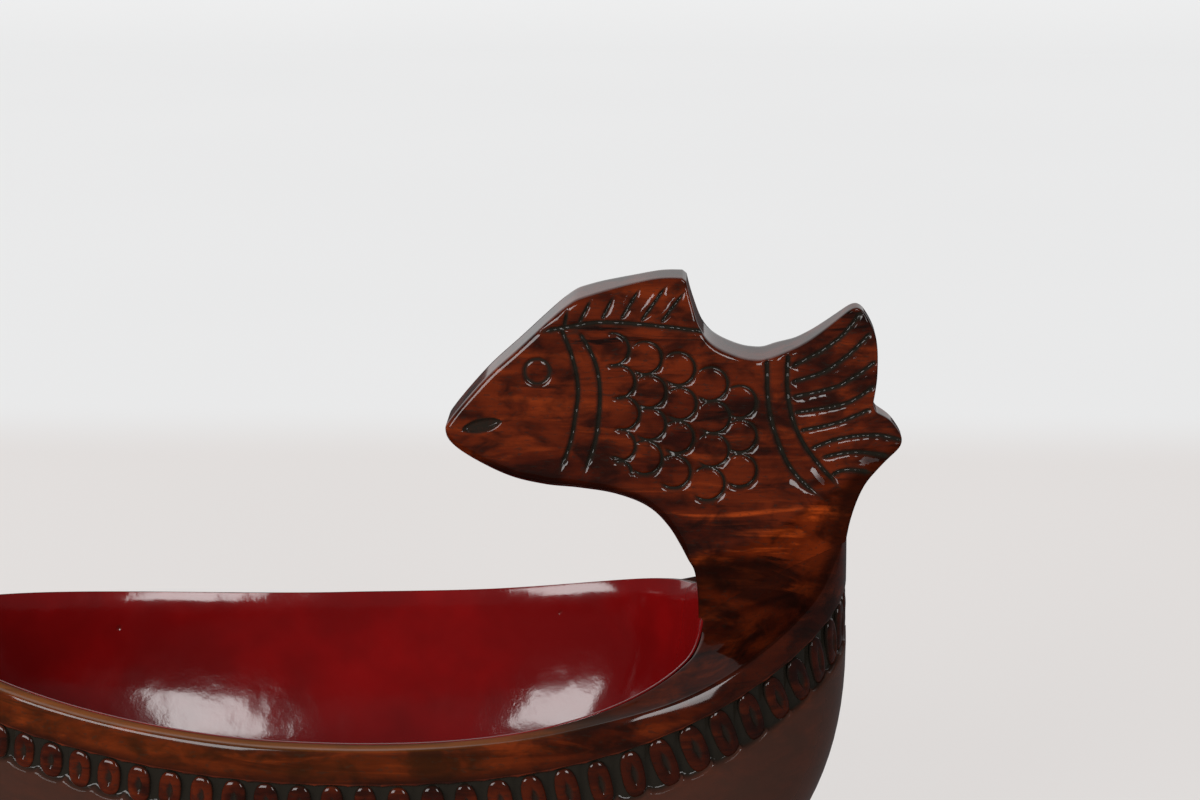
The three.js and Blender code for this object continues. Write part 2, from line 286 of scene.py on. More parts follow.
class Wire:
    """One output of a node; an expression on wires adds the nodes that work it out."""

    def __init__(self, tree, socket=None):
        self.tree = tree
        self.socket = socket

    def node(self, kind, settings=None, inputs=None, out=0):
        """Any node: its settings are set first, then the values or links of its sockets."""
        made = self.tree.nodes.new(kind)
        for key, value in (settings or {}).items():
            if key == "stops":
                ramp = made.color_ramp
                while len(ramp.elements) < len(value):
                    ramp.elements.new(1)
                for element, (place, colour) in zip(ramp.elements, value):
                    element.position = place
                    element.color = colour
            else:
                setattr(made, key, value)
        for key, value in (inputs or {}).items():
            if isinstance(value, Wire):
                self.tree.links.new(value.socket, made.inputs[key])
            else:
                made.inputs[key].default_value = value
        return Wire(self.tree, made.outputs[out])

    def math(self, operation, *values, clamp=False):
        settings = {"operation": operation, "use_clamp": clamp}
        return self.node("ShaderNodeMath", settings, dict(enumerate(values)))

    def of(self, operation):
        """A function of this wire alone, such as its sine."""
        return self.math(operation, self)

    def vector(self, operation, *values):
        settings = {"operation": operation}
        return self.node("ShaderNodeVectorMath", settings, dict(enumerate(values)))

    def split(self):
        made = self.node("ShaderNodeSeparateXYZ", None, {0: self})
        return [Wire(self.tree, s) for s in made.socket.node.outputs]

    def join(self, x, y, z):
        return self.node("ShaderNodeCombineXYZ", None, {0: x, 1: y, 2: z})

    def colour(self, a, b):
        """From colour a, where this wire is 0, to colour b, where it is 1."""
        settings = {"data_type": "RGBA"}
        return self.node("ShaderNodeMix", settings, {0: self, 6: a, 7: b}, 2)

    def step(self, low, high):
        """A smooth step of this wire from 0 at low to 1 at high."""
        t = ((self - low) / (high - low)).clamp()
        return t * t * (3 - 2 * t)

    def clamp(self):
        return self.math("ADD", self, 0.0, clamp=True)

    def __add__(self, other):
        return self.math("ADD", self, other)

    def __sub__(self, other):
        return self.math("SUBTRACT", self, other)

    def __mul__(self, other):
        return self.math("MULTIPLY", self, other)

    def __truediv__(self, other):
        return self.math("DIVIDE", self, other)

    def __rtruediv__(self, other):
        return self.math("DIVIDE", other, self)

    def __pow__(self, other):
        return self.math("POWER", self, other)

    def __radd__(self, other):
        return self.math("ADD", other, self)

    def __rsub__(self, other):
        return self.math("SUBTRACT", other, self)

    def __rmul__(self, other):
        return self.math("MULTIPLY", other, self)

    def __neg__(self):
        return self.math("MULTIPLY", self, -1.0)

    def __abs__(self):
        return self.of("ABSOLUTE")

    def above(self, other):
        return self.math("GREATER_THAN", self, other)

    def most(self, other):
        return self.math("MAXIMUM", self, other)

    def least(self, other):
        return self.math("MINIMUM", self, other)


def noise(wire, place, scale, detail=2.0, roughness=0.5, distortion=0.0):
    """Smooth noise from 0 to 1 at a place, with its patches about 1/scale across."""
    values = {
        "Vector": place,
        "Scale": scale,
        "Detail": detail,
        "Roughness": roughness,
        "Distortion": distortion,
    }
    return wire.node("ShaderNodeTexNoise", None, values)


def carried(wire, name):
    """A number that the mesh carries at each of its points; 0 where it has none of this name."""
    return wire.node("ShaderNodeAttribute", {"attribute_name": name}, out=2)


def spot_wire(across, up, place, wide, high):
    """1 at a place of the board, fading to 0 over a distance along and a distance up."""
    u, v = (across - place[0]) / wide, (up - place[1]) / high
    return (1 - (u * u + v * v)).clamp()


# %% [markdown]
# ## A new finish
#
# Every finish starts in the same way: a shader whose constants are set on its own sockets, and the
# place on the object itself, which all patterns are made from, so that they stay on the piece when
# it is moved. What varies over the surface is fed to the shader at the end.

# %% New finish


def new_finish(name, constants):
    """A material, its shader with these constants, an empty wire and the place on the object."""
    material = bpy.data.materials.new(name)
    material.use_nodes = True
    shader = material.node_tree.nodes["Principled BSDF"]
    for key, value in constants.items():
        shader.inputs[key].default_value = value
    start = Wire(material.node_tree)
    return material, shader, start, start.node("ShaderNodeTexCoord", out=3)


def feed(shader, wires):
    """Links wires to the shader's sockets of these names."""
    for key, wire in wires.items():
        wire.tree.links.new(wire.socket, shader.inputs[key])


def relief_normal(start, height, strength, distance):
    """Small relief as a bump, for what is finer than the carving in the mesh."""
    values = {"Strength": strength, "Distance": distance, "Height": height}
    return start.node("ShaderNodeBump", None, values)


# %% [markdown]
# ## The varnished wood
#
# The wood is a red-brown hardwood under a dark, glossy varnish. Three things show in it: fine
# grain lines that run along the dish, soft dark and light patches where the varnish took
# unevenly, and near-black stain that stayed in every cut. What the carving knows, the meshes
# carry as numbers: cut for the stain in a cut, worn for the golden ledge, dark for painted shade
# below rounded edges and in creases and for wood that is darker towards the fish, dull where the
# varnish has worn down, and hull for the plain part below the band. The gloss comes from the coat
# of varnish alone, so a dull place shows no haze.

# %% Colours of the wood
RED_WOOD = (0.036, 0.0044, 0.0017, 1)
ORANGE_WOOD = (0.140, 0.0182, 0.0036, 1)
FLAME_WOOD = (0.340, 0.0480, 0.0070, 1)
DEEP_WOOD = (0.0085, 0.0026, 0.0018, 1)
STAIN = (0.0150, 0.0125, 0.0092, 1)
GOLD_WOOD = (0.400, 0.120, 0.018, 1)
HULL_WOOD = (0.052, 0.0235, 0.0165, 1)
# Centre of a painted shade in the crease where the neck meets the shoulder, on the front only
NECK_SHADE_PLACE = (0.1204, 0.1215)
FLAME_PLACE = (0.119, 0.136)
VARNISH_COAT = 0.66
WOOD_CONSTANTS = {"Specular IOR Level": 0.0, "Coat Roughness": 0.06, "Coat IOR": 1.5}


def stretched(start, place, along, across, up, detail, roughness=0.5, distortion=0.0):
    """Noise whose patches are stretched: the numbers say how many there are to a metre."""
    x, y, z = place.split()
    pattern = start.join(x * along, y * across, z * up)
    return noise(start, pattern, 1.0, detail, roughness, distortion)


def wood_colour(start, place, grain, patches):
    """Red wood with orange bands, bright flames and dark mottling, stain in its pores, and painted
    shade.
    """
    x, y, z = place.split()
    bands = stretched(start, place, 10, 60, 85, 4, 0.58, 0.9)
    flame = stretched(start, place, 17, 50, 150, 4, 0.62, 1.3)
    mottle = stretched(start, place, 85, 85, 150, 3, 0.6, 0.4)
    pores = stretched(start, place, 420, 1300, 1300, 2)

    light = (bands * 0.70 + patches * 0.55 + grain * 0.22).step(0.52, 0.98)
    wood = light.colour(RED_WOOD, ORANGE_WOOD)
    glow = spot_wire(x, z, FLAME_PLACE, 0.034, 0.016).of("SQRT")
    wood = ((0.34 + glow * 0.9) * flame.step(0.50, 0.72)).clamp().colour(wood, FLAME_WOOD)
    dark = (1.14 - mottle * 0.86 - patches * 0.20 - bands * 0.24).step(0.40, 0.66)
    wood = (dark * 0.85).colour(wood, DEEP_WOOD)
    wood = ((0.40 - flame) * 9.0).clamp().colour(wood, DEEP_WOOD)
    wood = ((grain - 0.55).clamp() * 2.6).clamp().colour(wood, DEEP_WOOD)
    wood = (pores.step(0.58, 0.70) * 0.45).colour(wood, STAIN)

    gold = (carried(start, "worn") * (bands * 0.8 + grain * 0.7 - 0.05)).clamp()
    wood = gold.colour(wood, GOLD_WOOD)
    # Painted shade: a dark spot in the crease where the neck meets the shoulder, added to the
    # carried dark layer
    neck_shade = spot_wire(x + (flame - 0.5) * 0.02, z, NECK_SHADE_PLACE, 0.016, 0.0065) * (-y).above(0.0)
    shade = (carried(start, "dark") + neck_shade * 1.6).clamp()
    return (shade * (0.62 + patches * 0.5)).clamp().colour(wood, DEEP_WOOD)


# %% Varnished wood


def varnished_wood(name, has_hull):
    """Wood under varnish; the bowl's has a plain dark hull."""
    material, shader, start, place = new_finish(name, WOOD_CONSTANTS)
    grain = stretched(start, place, 26, 330, 420, 3, 0.6, 0.15)
    patches = noise(start, place, 38.0, 3, 0.55, 0.3)
    wood = wood_colour(start, place, grain, patches)
    if has_hull:
        tone = (stretched(start, place, 14, 14, 30, 3, 0.6) - 0.5) * 0.5 + 0.85
        wood = (carried(start, "hull") * tone).clamp().colour(wood, HULL_WOOD)

    cut, dull = carried(start, "cut"), carried(start, "dull")
    specks = noise(start, place, 900.0, 2, 0.5)
    stained = (cut * 1.05 - (specks - 0.5) * 0.30).clamp()
    smear = noise(start, place, 120.0, 3, 0.6)
    ripple = stretched(start, place, 55, 90, 90, 2)
    chatter = noise(start, place, 640.0, 2, 0.6)
    relief = ripple * 0.55 + grain * 0.05 + chatter * (0.035 + cut * 0.22)
    feed(shader, {
        "Base Color": stained.colour(wood, STAIN),
        "Roughness": 0.24 + smear * 0.14 + cut * 0.04 + dull * 0.14,
        "Coat Weight": (VARNISH_COAT - dull * VARNISH_COAT - cut * 0.14).clamp(),
        "Normal": relief_normal(start, relief, 0.55, 0.0009),
    })
    return material


wood_bowl = varnished_wood("varnished_wood_bowl", True)
wood_fish = varnished_wood("varnished_wood_fish", False)
print("made the wood of the bowl and of the fish")

# %% [markdown]
# ## The red lacquer
#
# The hollow is brushed with thick red lacquer. It is glossy, but it follows the marks of the
# carving below and of the brush, so that its reflections swim a little and end softly, and dust
# left small brown pits in it.

# %% Red lacquer
LACQUER_RED = (0.262, 0.0040, 0.0044, 1)
LACQUER_DEEP = (0.165, 0.0032, 0.0036, 1)
PIT_BROWN = (0.060, 0.012, 0.008, 1)
LACQUER_CONSTANTS = {"Specular IOR Level": 0.4, "Coat Weight": 0.4, "Coat Roughness": 0.11}

lacquer_paint, lacquer_shader, wire, place = new_finish("red_lacquer", LACQUER_CONSTANTS)
cloud = noise(wire, place, 26.0, 3, 0.55)
paint = cloud.step(0.35, 0.68).colour(LACQUER_DEEP, LACQUER_RED)
pit_cells = wire.node("ShaderNodeTexVoronoi", None, {"Vector": place, "Scale": 95.0})
pit_field = noise(wire, place, 40.0, 1, 0.5)
pits = (1 - pit_cells.step(0.05, 0.14)) * pit_field.step(0.56, 0.62)
swim = noise(wire, place, 45.0, 2, 0.5)
brushed = noise(wire, place, 170.0, 3, 0.6)
lacquer_relief = swim + brushed * 0.20 - pits * 0.5
feed(lacquer_shader, {
    "Base Color": (pits * 0.6).colour(paint, PIT_BROWN),
    "Roughness": noise(wire, place, 90.0, 3, 0.6) * 0.12 + 0.07,
    "Normal": relief_normal(wire, lacquer_relief, 0.5, 0.0012),
})
print("made the lacquer")

# %% [markdown]
# ## The columns of the bowl
#
# The bowl is a skin of rings. Each ring has the same columns, and the columns are spread evenly
# along the band of beads, twelve to a bead, so that the carving between the beads falls on them.

# %% Columns
COLUMNS_PER_BEAD = 12
COLUMNS = BEADS * COLUMNS_PER_BEAD
FINE_TURNS = 7200


def wall_points(turn, below, depth=0.0):
    """Points on the outer wall, below the rim and cut in by a depth."""
    x, y = plan_point(turn, OUTER, -WALL_LEAN * (WIDEST_BELOW_RIM - below) - depth)
    return np.stack([WIDEST_X + x, y, rim_height(WIDEST_X + x) - below], axis=-1)


def band_foot(turn):
    """How far the foot of the band lies below its top."""
    return band_height(WIDEST_X + plan_point(turn, OUTER)[0])


fine_turn = np.linspace(0, 2 * np.pi, FINE_TURNS + 1)
fine_path = wall_points(fine_turn, BAND_TOP + band_foot(fine_turn) / 2, BAND_DEPTH)
fine_length = np.concatenate([[0], np.cumsum(np.linalg.norm(np.diff(fine_path, axis=0), axis=1))])
band_length = fine_length[-1]
turn = np.interp(np.arange(COLUMNS) / COLUMNS * band_length, fine_length, fine_turn)
print("the band is", round(band_length), "mm long, a bead takes", round(band_length / BEADS, 2))

# %% [markdown]
# ## The columns beside the neck
#
# Near the fish, one column on each side is drawn exactly along the line where the neck's flare
# meets its seat, so that bowl and fish meet without a gap. The columns next to it give way, and a
# hand's unevenness fades out towards it.

# %% Columns beside the neck
NECK_REACH = 45
SEAM_FADE = 8
right_end = np.cos(turn) > 0
plain_y = plan_point(turn, OUTER)[1]


def edge_inset(y, right):
    """How far the rim's edge turns in from the wall: less at the end, where the neck stands."""
    beside = smoothstep(np.abs(y), FISH_HALF, FISH_HALF + FLARE_RADIUS)
    return np.where(right, mix(NECK_EDGE_INSET, RIM_TURN_INSET, beside), RIM_TURN_INSET)


inset = edge_inset(plain_y, right_end)
outer_x, outer_y = plan_point(turn, OUTER, -inset)
near = right_end & (np.abs(outer_y) < NECK_REACH)
to_seam = np.where(right_end & (outer_y > 0), np.abs(outer_y - SEAM_END), np.inf)
seam_column = int(np.argmin(to_seam))
from_y = [0, outer_y[seam_column], NECK_REACH]
moved_y = np.sign(outer_y) * np.interp(np.abs(outer_y), from_y, [0, SEAM_END, NECK_REACH])
outer_y = np.where(near, moved_y, outer_y)
outer_x = np.where(near, outline_x(outer_y, OUTER, -edge_inset(outer_y, right_end)), outer_x)


def from_seam(fade):
    """For each column, 0 at the neck's seam and 1 where it is farther than a distance from it."""
    return np.where(near, smoothstep(np.abs(outer_y), SEAM_END, SEAM_END + fade), 1)


def inner_ring(grown):
    """The edge of the hollow, with its columns squared up to the neck."""
    x, y = plan_point(turn, HOLLOW, grown)
    squared = mix(outer_y, y, smoothstep(np.abs(outer_y), SEAM_END + 1, NECK_REACH))
    y = np.where(near, squared, y)
    return np.where(near, outline_x(y, HOLLOW, grown), x), y


beside_seam = from_seam(SEAM_FADE)
print("column", seam_column, "follows the seam of the neck")

# %% The hand's unevenness
WOBBLE = 0.22

wobble_turns = [3, 5, 8, 13, 21]
wobble_phases = [0.4, 2.1, 4.4, 1.2, 5.3]
wobble = sum(np.sin(k * turn + p) / k ** 0.5 for k, p in zip(wobble_turns, wobble_phases))
wobble = WOBBLE * wobble * from_seam(NECK_REACH - SEAM_END)

phase = (np.arange(COLUMNS) % COLUMNS_PER_BEAD) / COLUMNS_PER_BEAD
from_bead = np.minimum(phase, 1 - phase) * 2
dice = np.random.default_rng(7)
bead_dice = dice.uniform(-1, 1, (BEADS, 4))
nearest_bead = (np.arange(COLUMNS) + COLUMNS_PER_BEAD // 2) // COLUMNS_PER_BEAD % BEADS
column_dice = bead_dice[nearest_bead]
print("the rim wavers by up to", round(float(np.abs(wobble).max()), 2), "mm")

# %% [markdown]
# ## The rings of the bowl
#
# From below: the flat foot, the round hull, the recessed ground of the band, the plain strip, the
# top of the rim, and the wall of the hollow. Each kind of ring is a function of how far along its
# own stretch it lies.
#
# The top of the rim doesn't fall outwards alike all round. It is level along the front, falls a
# little on the wide shoulder, and falls most along the back, where it slips out of sight behind
# the lacquer. Its inner edge stands back from the hollow by the thickness of the lacquer, which
# covers the edge of the wood.

# %% Hull and band rings


def hull_ring(share_up):
    """A ring of the round hull, from the foot at 0 to the widest place at 1."""
    start = math.asin(FOOT_SHARE ** (HULL_ROUNDNESS / 2))
    bend = start + (math.pi / 2 - start) * share_up
    share = math.sin(bend) ** (2 / HULL_ROUNDNESS)
    drop = (math.cos(bend) / math.cos(start)) ** (2 / HULL_ROUNDNESS)
    centre = mix(FOOT_CENTRE_X, WIDEST_X, (share - FOOT_SHARE) / (1 - FOOT_SHARE))
    x, y = plan_point(turn, OUTER)
    widest_z = rim_height(WIDEST_X + x) - WIDEST_BELOW_RIM
    return np.stack([centre + share * x, share * y, widest_z * (1 - drop)], axis=-1)


def foot_ring(share):
    """A ring of the flat foot at a share of its size."""
    centre = np.array([FOOT_CENTRE_X, 0, 0])
    return centre + (hull_ring(0) - centre) * share


def band_ring(share_down, shift):
    """A ring of the band's ground at a share of its height, and how deep it is cut."""
    down = share_down * band_foot(turn) + shift
    between = from_bead ** 3
    top = smoothstep(down, 0.1 + 0.5 * between, 1.3 + 0.5 * between + 0.2 * column_dice[:, 0])
    low_edge = band_foot(turn) - 0.3 - (1.7 + 0.5 * column_dice[:, 1]) * between
    bottom = 1 - smoothstep(down, low_edge - 1.8, low_edge + 0.2)
    groove = 0.55 * smoothstep(from_bead, 0.55, 1.0)
    share = top * bottom
    depth = share * (BAND_DEPTH + groove + 0.12 * column_dice[:, 2])
    return wall_points(turn, BAND_TOP + down, depth), share


# %% Rim and hollow rings
LIP = (LACQUER - 0.02) * beside_seam
FRONT_FALLEN = 0.0
SHOULDER_FALLEN = 0.4
BACK_FALLEN = 1.7
NARROW_LEDGE = 17
WIDE_LEDGE = 27
HIDDEN_GAP = 1.2


def ledge_ring(share, grown):
    """A ring on top of the rim, from its outer edge at 0 to the edge of the hollow at 1."""
    inner_x, inner_y = inner_ring(grown)
    x = WIDEST_X + mix(outer_x, inner_x, share)
    y = mix(outer_y, inner_y, share)
    pull = np.where(np.abs(y) < SEAM_END, np.abs(y) / SEAM_END,
                    (NECK_REACH - np.abs(y)) / (NECK_REACH - SEAM_END))
    seam = seam_half(np.clip(x, SEAT_IN_X, SEAT_OUT_X))
    y = y + np.where(near, np.sign(y) * np.clip(pull, 0, 1) * (seam - SEAM_END), 0)
    width = np.hypot(outer_x - inner_x, outer_y - inner_y)
    fallen = mix(FRONT_FALLEN, SHOULDER_FALLEN, smoothstep(width, NARROW_LEDGE, WIDE_LEDGE))
    fallen = mix(1, np.where(outer_y > 0, BACK_FALLEN, fallen), beside_seam)
    fade = smoothstep(x, SEAT_IN_X - FLARE_RADIUS, SEAT_IN_X)
    z = bare_height(x, (1 - share) * width, fallen) + flare_height(y) * fade * (x > 0)
    seated = near & (np.abs(y) <= seam + 1e-6)
    z = np.where(seated, seat_height(x), z)
    return np.stack([x, y, z + wobble * (1 - share) * 0.7], axis=-1)


def strip_ring(share):
    """A ring of the plain strip between the band and the rim's outer edge."""
    low = wall_points(turn, BAND_TOP)
    high = ledge_ring(0, LIP)
    swell = math.sin(math.pi * share) * STRIP_SWELL * inset
    ring = mix(low, high, share)
    ring[:, 0] += np.cos(turn) * (swell + wobble * share * 0.6)
    ring[:, 1] += np.sin(turn) * (swell + wobble * share * 0.6)
    return ring


def hollow_ring(drop):
    """A ring of the wood's own hollow, behind the lacquer, at a share of its depth."""
    edge = ledge_ring(1, LIP)
    below = (edge[:, 2] - FLOOR + HIDDEN_GAP) * drop
    lip = LIP_FLARE * (1 - np.exp(-below / LIP_DEPTH))
    x, y = inner_ring(LIP + HIDDEN_GAP * smoothstep(drop, 0, 0.06) - lip)
    share = (1 - drop ** HOLLOW_ROUNDNESS) ** (1 / HOLLOW_ROUNDNESS)
    centre = mix(FOOT_CENTRE_X, WIDEST_X, share)
    z = edge[:, 2] - below
    return np.stack([centre + share * x, share * y, z], axis=-1)


# %% Rings in their order
HULL, BAND, STRIP, LEDGE, INSIDE = range(5)
zero = np.zeros(COLUMNS)
rings, cut, part = [], [], []


def lay(ring, ring_cut, ring_part):
    """Adds a ring, how much stain its columns have, and the part of the bowl that it is in."""
    rings.append(ring)
    cut.append(ring_cut)
    part.append(ring_part)


for share in (0.2, 0.45, 0.7, 0.88, 0.97):
    lay(foot_ring(share), zero, HULL)
for step in np.linspace(0, 1, 30):
    lay(hull_ring(step), zero, HULL)
for share in (0.3, 0.6, 0.9):
    below = mix(WIDEST_BELOW_RIM, BAND_TOP + band_foot(turn), share)
    lay(wall_points(turn, below), zero, HULL)
for up in (0.1, 0.4, 0.8, 1.2, 1.6, 2, 2.4, 2.8, 3.2, 3.8):
    lay(*band_ring(1, -up), BAND)
for share in (0.6, 0.48, 0.37):
    lay(*band_ring(share, 0), BAND)
for down in (3.7, 3, 2.4, 2, 1.7, 1.4, 1.1, 0.8, 0.5, 0.25, 0.1):
    lay(*band_ring(0, down), BAND)
for share in (0, 0.12, 0.26, 0.42, 0.58, 0.72, 0.84, 0.93, 0.975):
    lay(strip_ring(share), zero, STRIP)
for share in (0, 0.03, 0.07, 0.13, 0.2, 0.29, 0.4, 0.52, 0.64, 0.76, 0.86, 0.93, 0.97):
    lay(ledge_ring(share, LIP), zero, LEDGE)
lay(ledge_ring(1, LIP), zero, INSIDE)
for drop in (0.006, 0.015, 0.03, 0.06, 0.12, 0.22, 0.35, 0.5, 0.65, 0.78, 0.88, 0.95, 0.985):
    lay(hollow_ring(drop), zero, INSIDE)
print("the bowl has", len(rings), "rings of", COLUMNS, "columns")

# %% [markdown]
# ## Softened edges
#
# A hand-cut edge is never sharp, and varnish rounds it more. Both edges of the rim's top are
# softened by pulling their rings towards one another, the outer edge twice as much. Beside the
# neck nothing is pulled, so that the seam stays where it is.

# %% Soften the hand-cut edges
NECK_FADE = 5.0
OUTER_PASSES = 6
INNER_PASSES = 3


def soften(stack, first, last, passes, weight):
    """Rounds a stretch of rings by pulling each point towards the middle of its neighbours."""
    for _ in range(passes):
        middle = (stack[first - 1:last - 1] + stack[first + 1:last + 1]) / 2
        stack[first:last] += 0.5 * weight[None, :, None] * (middle - stack[first:last])


stack, kind = np.array(rings), np.array(part)
band_start, strip_start, ledge_start, hollow_start = (
    int(np.argmax(kind == number)) for number in (BAND, STRIP, LEDGE, INSIDE)
)
soften(stack, ledge_start - 3, ledge_start + 4, OUTER_PASSES, from_seam(NECK_FADE))
soften(stack, hollow_start - 3, hollow_start + 3, INNER_PASSES, from_seam(NECK_FADE))
print("softened the edges at rings", ledge_start, "and", hollow_start)

# %% [markdown]
# ## Where the bowl is worn, dull and dark
#
# Hands and cloths have worn the varnish: the front of the ledge shows golden wood, and the ledge
# and the strip below it are dull. The foot of the strip, where it turns into the band's recess,
# and the outer edge of the wide shoulder are darkened as painted shade, and the rim is darker
# towards the fish. Each of these is a number for every point, worked out from its ring and its
# place.

# %% Layers of the bowl


def per_point(rows, ends=(0, 0)):
    """Numbers of the rings as one list for the mesh, with those of its two end points."""
    return np.concatenate([np.broadcast_to(rows, stack.shape[:2]).reshape(-1), ends])


def near_ring(centre, wide):
    """1 on one ring, fading over a few rings on both its sides."""
    return np.exp(-((np.arange(len(rings)) - centre) / wide) ** 2)[:, None]


def greatest(*layers):
    """The greatest of some layers at every point."""
    return np.max(np.broadcast_arrays(*layers), axis=0)


x_all = stack[..., 0]
from_outer = np.linalg.norm(stack - stack[ledge_start], axis=2)
on_ledge, on_strip = (kind == LEDGE)[:, None], (kind == STRIP)[:, None]
on_shoulder = on_ledge * smoothstep(x_all, 100, 122)

worn_rows = near_ring(ledge_start + 6, 5.0) * (kind >= LEDGE)[:, None] + 0.07 * on_strip
worn_rows = worn_rows * (1 - smoothstep(x_all, 20, 95))

off_edge = smoothstep(from_outer, 0.8, 2.4)
dull_rows = 0.86 * greatest(
    on_ledge * off_edge,
    on_shoulder * 0.9,
    on_strip * off_edge * 0.55 * (1 - smoothstep(x_all, 100, 125)),
    near_ring(band_start + 1, 3.0) * 0.9,
)
# Painted shade at the shoulder's outer edge and along the strip's foot; the rim is also darker
# towards the fish
dark_and_shade_rows = greatest(
    on_shoulder * 0.9 * (1 - smoothstep(from_outer, 1, 9)),
    near_ring(strip_start, 1.6) * 0.9,
    (on_ledge | on_strip) * 0.45 * smoothstep(x_all, 40, 100),
    on_strip * 0.7 * smoothstep(x_all, 95, 120),
)
hull_rows = smoothstep(-np.arange(len(rings)), -strip_start - 4, -band_start)[:, None]
bowl_layers = {
    "cut": per_point(cut),
    "hull": per_point(hull_rows, (1, 0)),
    "worn": per_point(worn_rows),
    "dull": per_point(dull_rows),
    "dark": per_point(dark_and_shade_rows),
}
print("the bowl's mesh carries", ", ".join(bowl_layers))

# %% [markdown]
# ## Joining the rings
#
# Neighbouring rings are joined by quads, and a fan of triangles closes each end on a single
# point. The edges along the neck's seam stay sharp, because there the rim ends at the fish.

# %% The bowl


def ring_faces(rows, columns):
    """Quads between rings, and fans to the two end points, with all faces outwards."""
    row = np.arange(rows - 1)[:, None] * columns
    here = np.arange(columns)[None, :]
    after = (here + 1) % columns
    quads = np.stack([row + here, row + after, row + columns + after, row + columns + here], -1)
    faces = quads.reshape(-1, 4).tolist()
    low, high = rows * columns, rows * columns + 1
    last = (rows - 1) * columns
    for j in range(columns):
        k = (j + 1) % columns
        faces.append((low, k, j))
        faces.append((high, last + j, last + k))
    return faces


ends = np.array([[FOOT_CENTRE_X, 0, 0], [FOOT_CENTRE_X, 0, FLOOR - HIDDEN_GAP]])
bowl_points = np.concatenate([stack.reshape(-1, 3), ends])

seam_pairs = []
for column in (seam_column, COLUMNS - seam_column):
    for r in range(ledge_start, hollow_start):
        seam_pairs.append((r * COLUMNS + column, (r + 1) * COLUMNS + column))
for j in range(-seam_column, seam_column):
    for r in (ledge_start, hollow_start):
        seam_pairs.append((r * COLUMNS + j % COLUMNS, r * COLUMNS + (j + 1) % COLUMNS))

bowl_faces = ring_faces(len(rings), COLUMNS)
bowl = make_mesh("bowl", bowl_points, bowl_faces, wood_bowl, seam_pairs, bowl_layers)
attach(bowl, "root")
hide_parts("bowl_body")

# %% [markdown]
# ## Growing a piece by rule
#
# Some pieces are grown by Geometry Nodes. Each gets a tree with named inputs, which are set on a
# modifier before it runs for the first time, and what it makes is kept as a plain mesh. Both
# trees below start from a ball whose points are moved by a formula.

# %% Geometry Nodes helpers


def new_tree(name, inputs):
    """An empty tree, its named inputs as wires, and a way to set them on a modifier."""
    tree = bpy.data.node_groups.new(name, "GeometryNodeTree")
    tree.is_modifier = True
    tree.interface.new_socket("Geometry", in_out="INPUT", socket_type="NodeSocketGeometry")
    tree.interface.new_socket("Geometry", in_out="OUTPUT", socket_type="NodeSocketGeometry")
    keys = {}
    for key, (kind, _) in inputs.items():
        made = tree.interface.new_socket(key, in_out="INPUT", socket_type="NodeSocket" + kind)
        keys[key] = made.identifier
    source = tree.nodes.new("NodeGroupInput")
    wires = {s.name: Wire(tree, s) for s in source.outputs if s.name}
    return tree, wires, keys


def grow(name, source, tree, keys, inputs):
    """Runs a tree on an object and keeps the result as a plain mesh object."""
    modifier = source.modifiers.new("grow", "NODES")
    modifier.node_group = tree
    for key, (_, value) in inputs.items():
        modifier[keys[key]] = value
    bpy.context.view_layer.update()
    graph = bpy.context.evaluated_depsgraph_get()
    mesh = bpy.data.meshes.new_from_object(source.evaluated_get(graph), depsgraph=graph)
    mesh.name = name
    source.modifiers.remove(modifier)
    bpy.data.objects.remove(source)
    return shown(name, mesh)


def close_tree(tree, form, material):
    """Gives a form its material and makes it the result of the tree."""
    made = form.node("GeometryNodeSetMaterial", None, {"Geometry": form, "Material": material})
    tree.links.new(made.socket, tree.nodes.new("NodeGroupOutput").inputs[0])


def unit_ball(start, segments, rings):
    """A ball of radius 1; each point's height, distance from the axis, and direction round it."""
    sizes = {"Segments": segments, "Rings": rings, "Radius": 1.0}
    ball = start.node("GeometryNodeMeshUVSphere", None, sizes)
    at_x, at_y, at_z = start.node("GeometryNodeInputPosition").split()
    across = (at_x * at_x + at_y * at_y).of("SQRT").most(1e-6)
    return ball, at_z, across, at_x / across, at_y / across


def squared_reach(cos, sin, power):
    """How far a superellipse reaches in a direction; a power of 2 gives a circle."""
    return (abs(cos) ** power + abs(sin) ** power).most(0.01) ** (-1 / power)


def moved_to(form, place):
    """A form with its points at new places, shaded smooth."""
    moved = form.node("GeometryNodeSetPosition", None, {"Geometry": form, "Position": place})
    return form.node("GeometryNodeSetShadeSmooth", None, {"Geometry": moved})


def store(form, name, value):
    """A form that carries a number at each of its points."""
    settings = {"data_type": "FLOAT", "domain": "POINT"}
    values = {"Geometry": form, "Name": name, "Value": value}
    return form.node("GeometryNodeStoreNamedAttribute", settings, values)


def dice_wire(start, low, high, seed):
    """A random vector for each point, the same in every run."""
    settings = {"data_type": "FLOAT_VECTOR"}
    return start.node("FunctionNodeRandomValue", settings, {0: low, 1: high, "Seed": seed})


# %% [markdown]
# ## The beads
#
# Seventy-six beads repeat along the band. The band's middle line is resampled to as many points
# as there are beads, and one bead is set on each point, square to the wall. The bead is a round
# lump that is squared off by a rule, with an almond-shaped hollow cut into its face. The stain in
# the hollow and round the bead is stored on the ball before it is moved, while its own height
# still tells the face from the sides. A fixed seed tilts and sizes each bead, as a hand does, and
# the beads are darker towards the fish.

# %% The form of a bead
BEAD_SQUARENESS = 2.6
BEAD_FULLNESS = 0.62
LEAF_SHIFT = 0.03
LEAF_WIDTH = 0.20
LEAF_LENGTH = 0.27

